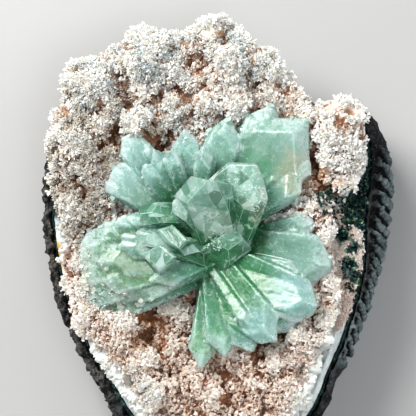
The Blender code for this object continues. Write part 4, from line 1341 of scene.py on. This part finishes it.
def bundle_of(blade):
    """The blade itself and the narrower, shorter crystals that grow beside and on it."""
    root, tip, width, thickness, roll, taper, point, _, frost = blade
    bundle = [blade]
    root, tip = Vector(root), Vector(tip)
    along = (tip - root).normalized()
    side_way = along.cross(Vector((0, 0, 1))).normalized()
    most = max([number for level, number in SIDE_CRYSTALS if frost > level], default=0)
    for k in range(min(most, int(width / WIDTH_PER_SIDE_CRYSTAL))):
        narrow = draw.uniform(0.3, 0.45) * width
        aside = side_way * (-1) ** k * draw.uniform(0.3, 0.5) * (width - 0.6 * narrow)
        level = Vector((0, 0, draw.uniform(-0.6, 0.7)))
        short = along * draw.uniform(0.1, 0.6) * width
        bundle.append((root + aside * 0.6 + level, tip + aside - short + level, narrow,
                       thickness * draw.uniform(0.8, 1.0), roll + draw.uniform(-9, 9), taper * 0.5,
                       point + draw.uniform(-6, 6), draw.uniform(0, 0.2) * narrow, frost))
    return bundle


draw = random.Random(5)
milky_crystals = [cut_blade(*member) for blade in BLADES for member in bundle_of(blade)]
print("milky crystals:", len(milky_crystals))

# %% [markdown]
# ## The clear crown
#
# The crystals that point at the viewer are clear, and large enough for each face to be seen.
# The corners of their end faces lie where the photograph shows them, at heights that are
# estimates. A crystal is then the ring of those corners, the direction in which its sides run
# down to the core, and the faces that cap it, each through three corners.

# %% Crown crystals
PEAK_RING = [(-13.4, 14.5, 50), (-8.5, 11.4, 54), (5.4, 8.7, 50.5), (6.6, 17.6, 54), (-7.2, 20.6, 53.5)]
PEAK_TOP = [(0.5, 17.8, 59.6), (3.7, 17.3, 59.3)]
PEAK_CAPS = [(0, 1, 5), (1, 2, 5), (2, 3, 6), (3, 4, 5), (4, 0, 5)]
TABLETS = {
    "rear": ([(-1.8, 20.3, 48), (5.2, 26.1, 49), (15.4, 24.9, 51), (17.3, 19.3, 51.5), (19.3, 12.6, 51),
              (14.7, 7.0, 48), (8.2, 5.4, 46)], (-5, -10, -8), 0.3),
    "left": ([(-19.4, 3.4, 47.3), (-14.0, 4.9, 48.9), (-8.0, -0.8, 51.1), (-11.2, -3.7, 50.4),
              (-16.5, -0.9, 48.2)], (2, -3, -12), 0.1),
    "diamond": ([(-25.4, -4.6, 45.4), (-18.0, -1.6, 47.6), (-12.3, -6.1, 49.4), (-18.4, -10.9, 47.5)],
                (-2, -3, -12), 0.1),
    "small": ([(-12.1, -3.3, 48), (-7.2, -1.8, 49), (-4.5, -4.5, 49), (-10.1, -5.7, 48)], (2, 2, -12), 0.1),
}
PRISMS = [
    ((-6, 9, 38), (-27.0, 8.6, 47), 7.6, 6.0, 14, 0, 56, 1.5, 0.2),
    ((-4, -6, 37), (-27.4, 3.0, 46), 8.0, 6.5, 24, 0, 50, 0.8, 0.3),
    ((-7, -6, 33), (12.0, 1.6, 44), 10.0, 9.0, 25, 0, 60, 2.5, 0.1),
    ((0, 4, 32), (5.5, -9.5, 42), 9.0, 8.0, 30, 0, 50, 2.5, 0.2),
    ((1, -2, 30), (-13.5, 13.0, 52), 6.5, 6.0, 20, 0, 50, 0.8, 0.4),
]
RIM = 0.9
RIM_RISE = 0.45
CORE_HEIGHT = 33.0


def faces_through(corners, triples):
    """The flat faces through triples of corners, all facing away from the corners' middle."""
    middle = sum(corners, Vector()) / len(corners)
    faces = []
    for first, second, third in triples:
        direction = (corners[second] - corners[first]).cross(corners[third] - corners[first])
        if direction.dot(corners[first] - middle) < 0:
            direction.negate()
        faces.append((corners[first], direction))
    return faces


def crown_crystal(ring, top, caps, down, frost):
    """A crystal from its ring of corners, the corners above it and the faces that cap it."""
    count = len(ring)
    corners = [Vector(corner) + SHIFT for corner in ring + top]
    below = len(corners)
    corners += [corner + Vector(down) for corner in corners[:count]]
    sides = [(k, (k + 1) % count, below + k) for k in range(count)]
    faces = faces_through(corners, sides + caps)
    faces.append((Vector((0, 0, CORE_HEIGHT)), Vector((0, 0, -1))))
    middle = sum(corners[:count], Vector()) / count
    width = max((corner - middle).length for corner in corners[:count]) * 2
    return mark(grind(faces), middle + Vector(down), middle, width, frost)


def tablet(ring, down, frost):
    """A flat-topped crystal with a narrow sloping rim."""
    middle = sum((Vector(corner) for corner in ring), Vector()) / len(ring)
    top = [Vector(corner) + (middle - Vector(corner)).normalized() * RIM + Vector((0, 0, RIM_RISE))
           for corner in ring]
    count = len(ring)
    caps = [(k, (k + 1) % count, count + k) for k in range(count)]
    caps.append((count, count + count // 3, count + 2 * count // 3))
    return crown_crystal(ring, top, caps, down, frost)


clear_crystals = [cut_blade(*prism) for prism in PRISMS]
clear_crystals += [tablet(*numbers) for numbers in TABLETS.values()]
clear_crystals.append(crown_crystal(PEAK_RING, PEAK_TOP, PEAK_CAPS, (7.1, -17.7, -14), 0.1))
for crystal in clear_crystals:
    polish(crystal)
print("clear crystals:", len(clear_crystals))

# %% [markdown]
# ## Joining the crystals
#
# Crystals that have grown through one another are one body, so a boolean union removes what lies
# inside. The clear crown keeps its sharp faces. The milky blades have been etched, and cutting
# every ridge by hand would be endless. So their union is rebuilt from even squares, and the
# measures of each crystal are sampled back from the sharp union. They guide fine ridges along
# each crystal, stronger where it is frosted, and a granular rim.

# %% Join the crystals into two groups
MARKS = ("along", "across", "rim", "frost", "tone")
BLADE_GRAIN = 0.48
SWELL_HEIGHT = 0.35
RIM_GRAIN_HEIGHT = 1.4


def join_crystals(crystals, name):
    """One closed mesh of crystals that have grown together."""
    joiners = bpy.data.collections.new("crystals_to_join")
    bpy.context.scene.collection.children.link(joiners)
    body = crystals[-1]
    for crystal in crystals[:-1]:
        for owner in crystal.users_collection:
            owner.objects.unlink(crystal)
        joiners.objects.link(crystal)
    pick(body)
    body.name = name
    body.data.name = name
    bpy.ops.object.modifier_add(type="BOOLEAN")
    union = body.modifiers[-1]
    union.operation = "UNION"
    union.operand_type = "COLLECTION"
    union.collection = joiners
    union.solver = "MANIFOLD"
    bpy.ops.object.modifier_apply(modifier=union.name)
    for crystal in crystals[:-1]:
        bpy.data.objects.remove(crystal)
    bpy.data.collections.remove(joiners)
    return body


def etched_tree(sharp):
    """Bring back the measures of the sharp crystals, then roughen the surface with them."""
    tree, geometry, place = new_geometry_tree("etched_blades")
    model = add_node(tree, "GeometryNodeObjectInfo", {"Object": sharp}).outputs["Geometry"]
    for label in MARKS:
        inputs = {"Mesh": model, "Value": stored(tree, label)}
        value = add_node(tree, "GeometryNodeSampleNearestSurface", inputs, data_type="FLOAT").outputs[0]
        geometry = keep(tree, geometry, label, value)
    ridges = calculate(tree, "SUBTRACT", streaks(tree, stored), 0.5)
    ridges = calculate(tree, "MULTIPLY", ridges, fade(tree, stored(tree, "frost"), 0.3, 0.9, 0.07, 0.2))
    swells = swing_of(tree, place, 5, 2)
    total = calculate(tree, "MULTIPLY", calculate(tree, "MULTIPLY_ADD", swells, SWELL_HEIGHT, ridges), MM)
    grains = calculate(tree, "SUBTRACT", noise_of(tree, place, 1.3, 2, 0.6), 0.45)
    grains = calculate(tree, "MULTIPLY", grains, frost_cover(tree, stored))
    total = calculate(tree, "MULTIPLY_ADD", grains, RIM_GRAIN_HEIGHT * MM, total)
    return finish_tree(tree, push(tree, geometry, total))


sharp = join_crystals(milky_crystals, "sharp_blades")
pick(sharp)
bpy.ops.object.duplicate()
blades = bpy.context.active_object
blades.name = "apophyllite_blades"
blades.data.name = "apophyllite_blades"
remesh(blades, BLADE_GRAIN)
run_tree(blades, etched_tree(sharp))
bpy.ops.object.shade_smooth()
bpy.data.objects.remove(sharp)
dress(blades, milky)
place_piece(blades, "apophyllite", "apophyllite_cluster")

crown = join_crystals(clear_crystals, "apophyllite_crown")
place_piece(crown, "apophyllite", "apophyllite_cluster")
print("crown wears", " and ".join(material.name for material in crown.data.materials))

# %% [markdown]
# ## Frost grains
#
# The tips and rims of the frosted blades carry tiny blocky crystals, about half a millimetre
# across, and the left and right ends of the fan have lumps of about 2 mm. Painted frost would
# have no shadows, so real blocks are scattered over the crystals, half sunk and turned at random.
# Each is kept or dropped by chance, by how frosty its place is, so the frost thins out softly.

# %% Scatter the frost grains
GRAIN_GAP = 0.45
GRAIN_DENSITY = 1.2e7
LOWEST_FACING = -0.3
GRAIN_SPOTS = [(0, -1, 5), (15, 11, 4), (-38, -20, 7), (-48, -8, 8), (-46, -16, 7), (30, 21, 4),
               (-8, -45, 5)]
LUMP_SPOTS = [(-50, -8, 7), (-48, -15, 7), (-42, -21, 7), (-34, -24, 5), (-26, -22, 4), (40, -14, 4),
              (42, -5, 3)]
CREAM_SPOTS = [(-44, -10, 14), (16, 9, 6), (-30, -20, 9)]


def grain_tree(name, grain, seed, gap, small, big, spots_of_growth, rims):
    """Grains at the frosted places; each point is kept or dropped by chance, by how frosty it is."""
    tree, geometry, place = new_geometry_tree(name)
    spots = spread_points(tree, geometry, LOWEST_FACING, gap, GRAIN_DENSITY, seed)
    patches = fade(tree, noise_of(tree, place, 2.5, 3), 0.38, 0.6)
    rim = calculate(tree, "ABSOLUTE", stored(tree, "rim"))
    along = stored(tree, "along")
    sides = calculate(tree, "MULTIPLY", fade(tree, rim, 0.8, 1.0), fade(tree, along, 0.4, 0.75))
    cover = calculate(tree, "MAXIMUM", sides, fade(tree, along, 0.88, 1.0))
    cover = calculate(tree, "MULTIPLY", cover, fade(tree, stored(tree, "frost"), 0.3, 1.0))
    cover = calculate(tree, "MULTIPLY", calculate(tree, "MULTIPLY", cover, patches), rims)
    flat = combine(tree, "MULTIPLY", place, (1, 1, 0))
    for x, y, radius in spots_of_growth:
        away = combine(tree, "DISTANCE", flat, Vector((x, y, 0)) * MM)
        near = fade(tree, away, radius * MM, 0.4 * radius * MM, 0.0, 0.7)
        cover = calculate(tree, "MAXIMUM", cover, calculate(tree, "MULTIPLY", near, patches))
    bare = calculate(tree, "LESS_THAN", cover, random_number(tree, 0.0, 1.0, seed + 2))
    inputs = {"Geometry": spots["Points"], "Selection": bare}
    points = add_node(tree, "GeometryNodeDeleteGeometry", inputs, domain="POINT").outputs[0]
    turn = random_vector(tree, 0.0, math.tau, seed)
    size = random_number(tree, small * MM, big * MM, seed + 1)
    size = calculate(tree, "MULTIPLY", size, fade(tree, noise_of(tree, place, 2.0), 0.3, 0.7, 0.6, 1.15))
    return put_copies(tree, points, grain, turn, size)


def grain_material():
    material, tree, shader, place = new_material("apophyllite_frost", 0.22, APOPHYLLITE_IOR)
    shader.inputs["Transmission Weight"].default_value = 0.35
    shade = mix(tree, noise_of(tree, place, 1.2, 2), (0.40, 0.62, 0.53), (0.68, 0.82, 0.76))
    for mask in spot_masks(tree, CREAM_SPOTS, 42, 0.8):
        shade = mix(tree, mask, shade, (0.84, 0.80, 0.70))
    tree.links.new(shade, shader.inputs["Base Color"])
    return material


def make_grain():
    """A small block with a blunt top."""
    bpy.ops.object.select_all(action="DESELECT")
    bpy.ops.mesh.primitive_cube_add(size=1)
    grain = bpy.context.active_object
    for vert in grain.data.vertices:
        if vert.co.z > 0:
            vert.co.x *= 0.6
            vert.co.y *= 0.6
    return grain


grain = make_grain()
frost_finish = grain_material()
# The host, the seed, the least gap and the sizes in mm, the spots, and the amount on the rims.
GRAINS = {
    "blade_frost": (blades, 71, GRAIN_GAP, 0.25, 0.75, GRAIN_SPOTS, 0.35),
    "blade_lumps": (blades, 91, 0.8, 0.9, 2.1, LUMP_SPOTS, 0.25),
    "crown_frost": (crown, 83, GRAIN_GAP, 0.3, 0.8, GRAIN_SPOTS, 0.3),
}
for name, (host, *numbers) in GRAINS.items():
    grow(host, name, grain_tree(name, grain, *numbers), frost_finish, "apophyllite")
bpy.data.objects.remove(grain)
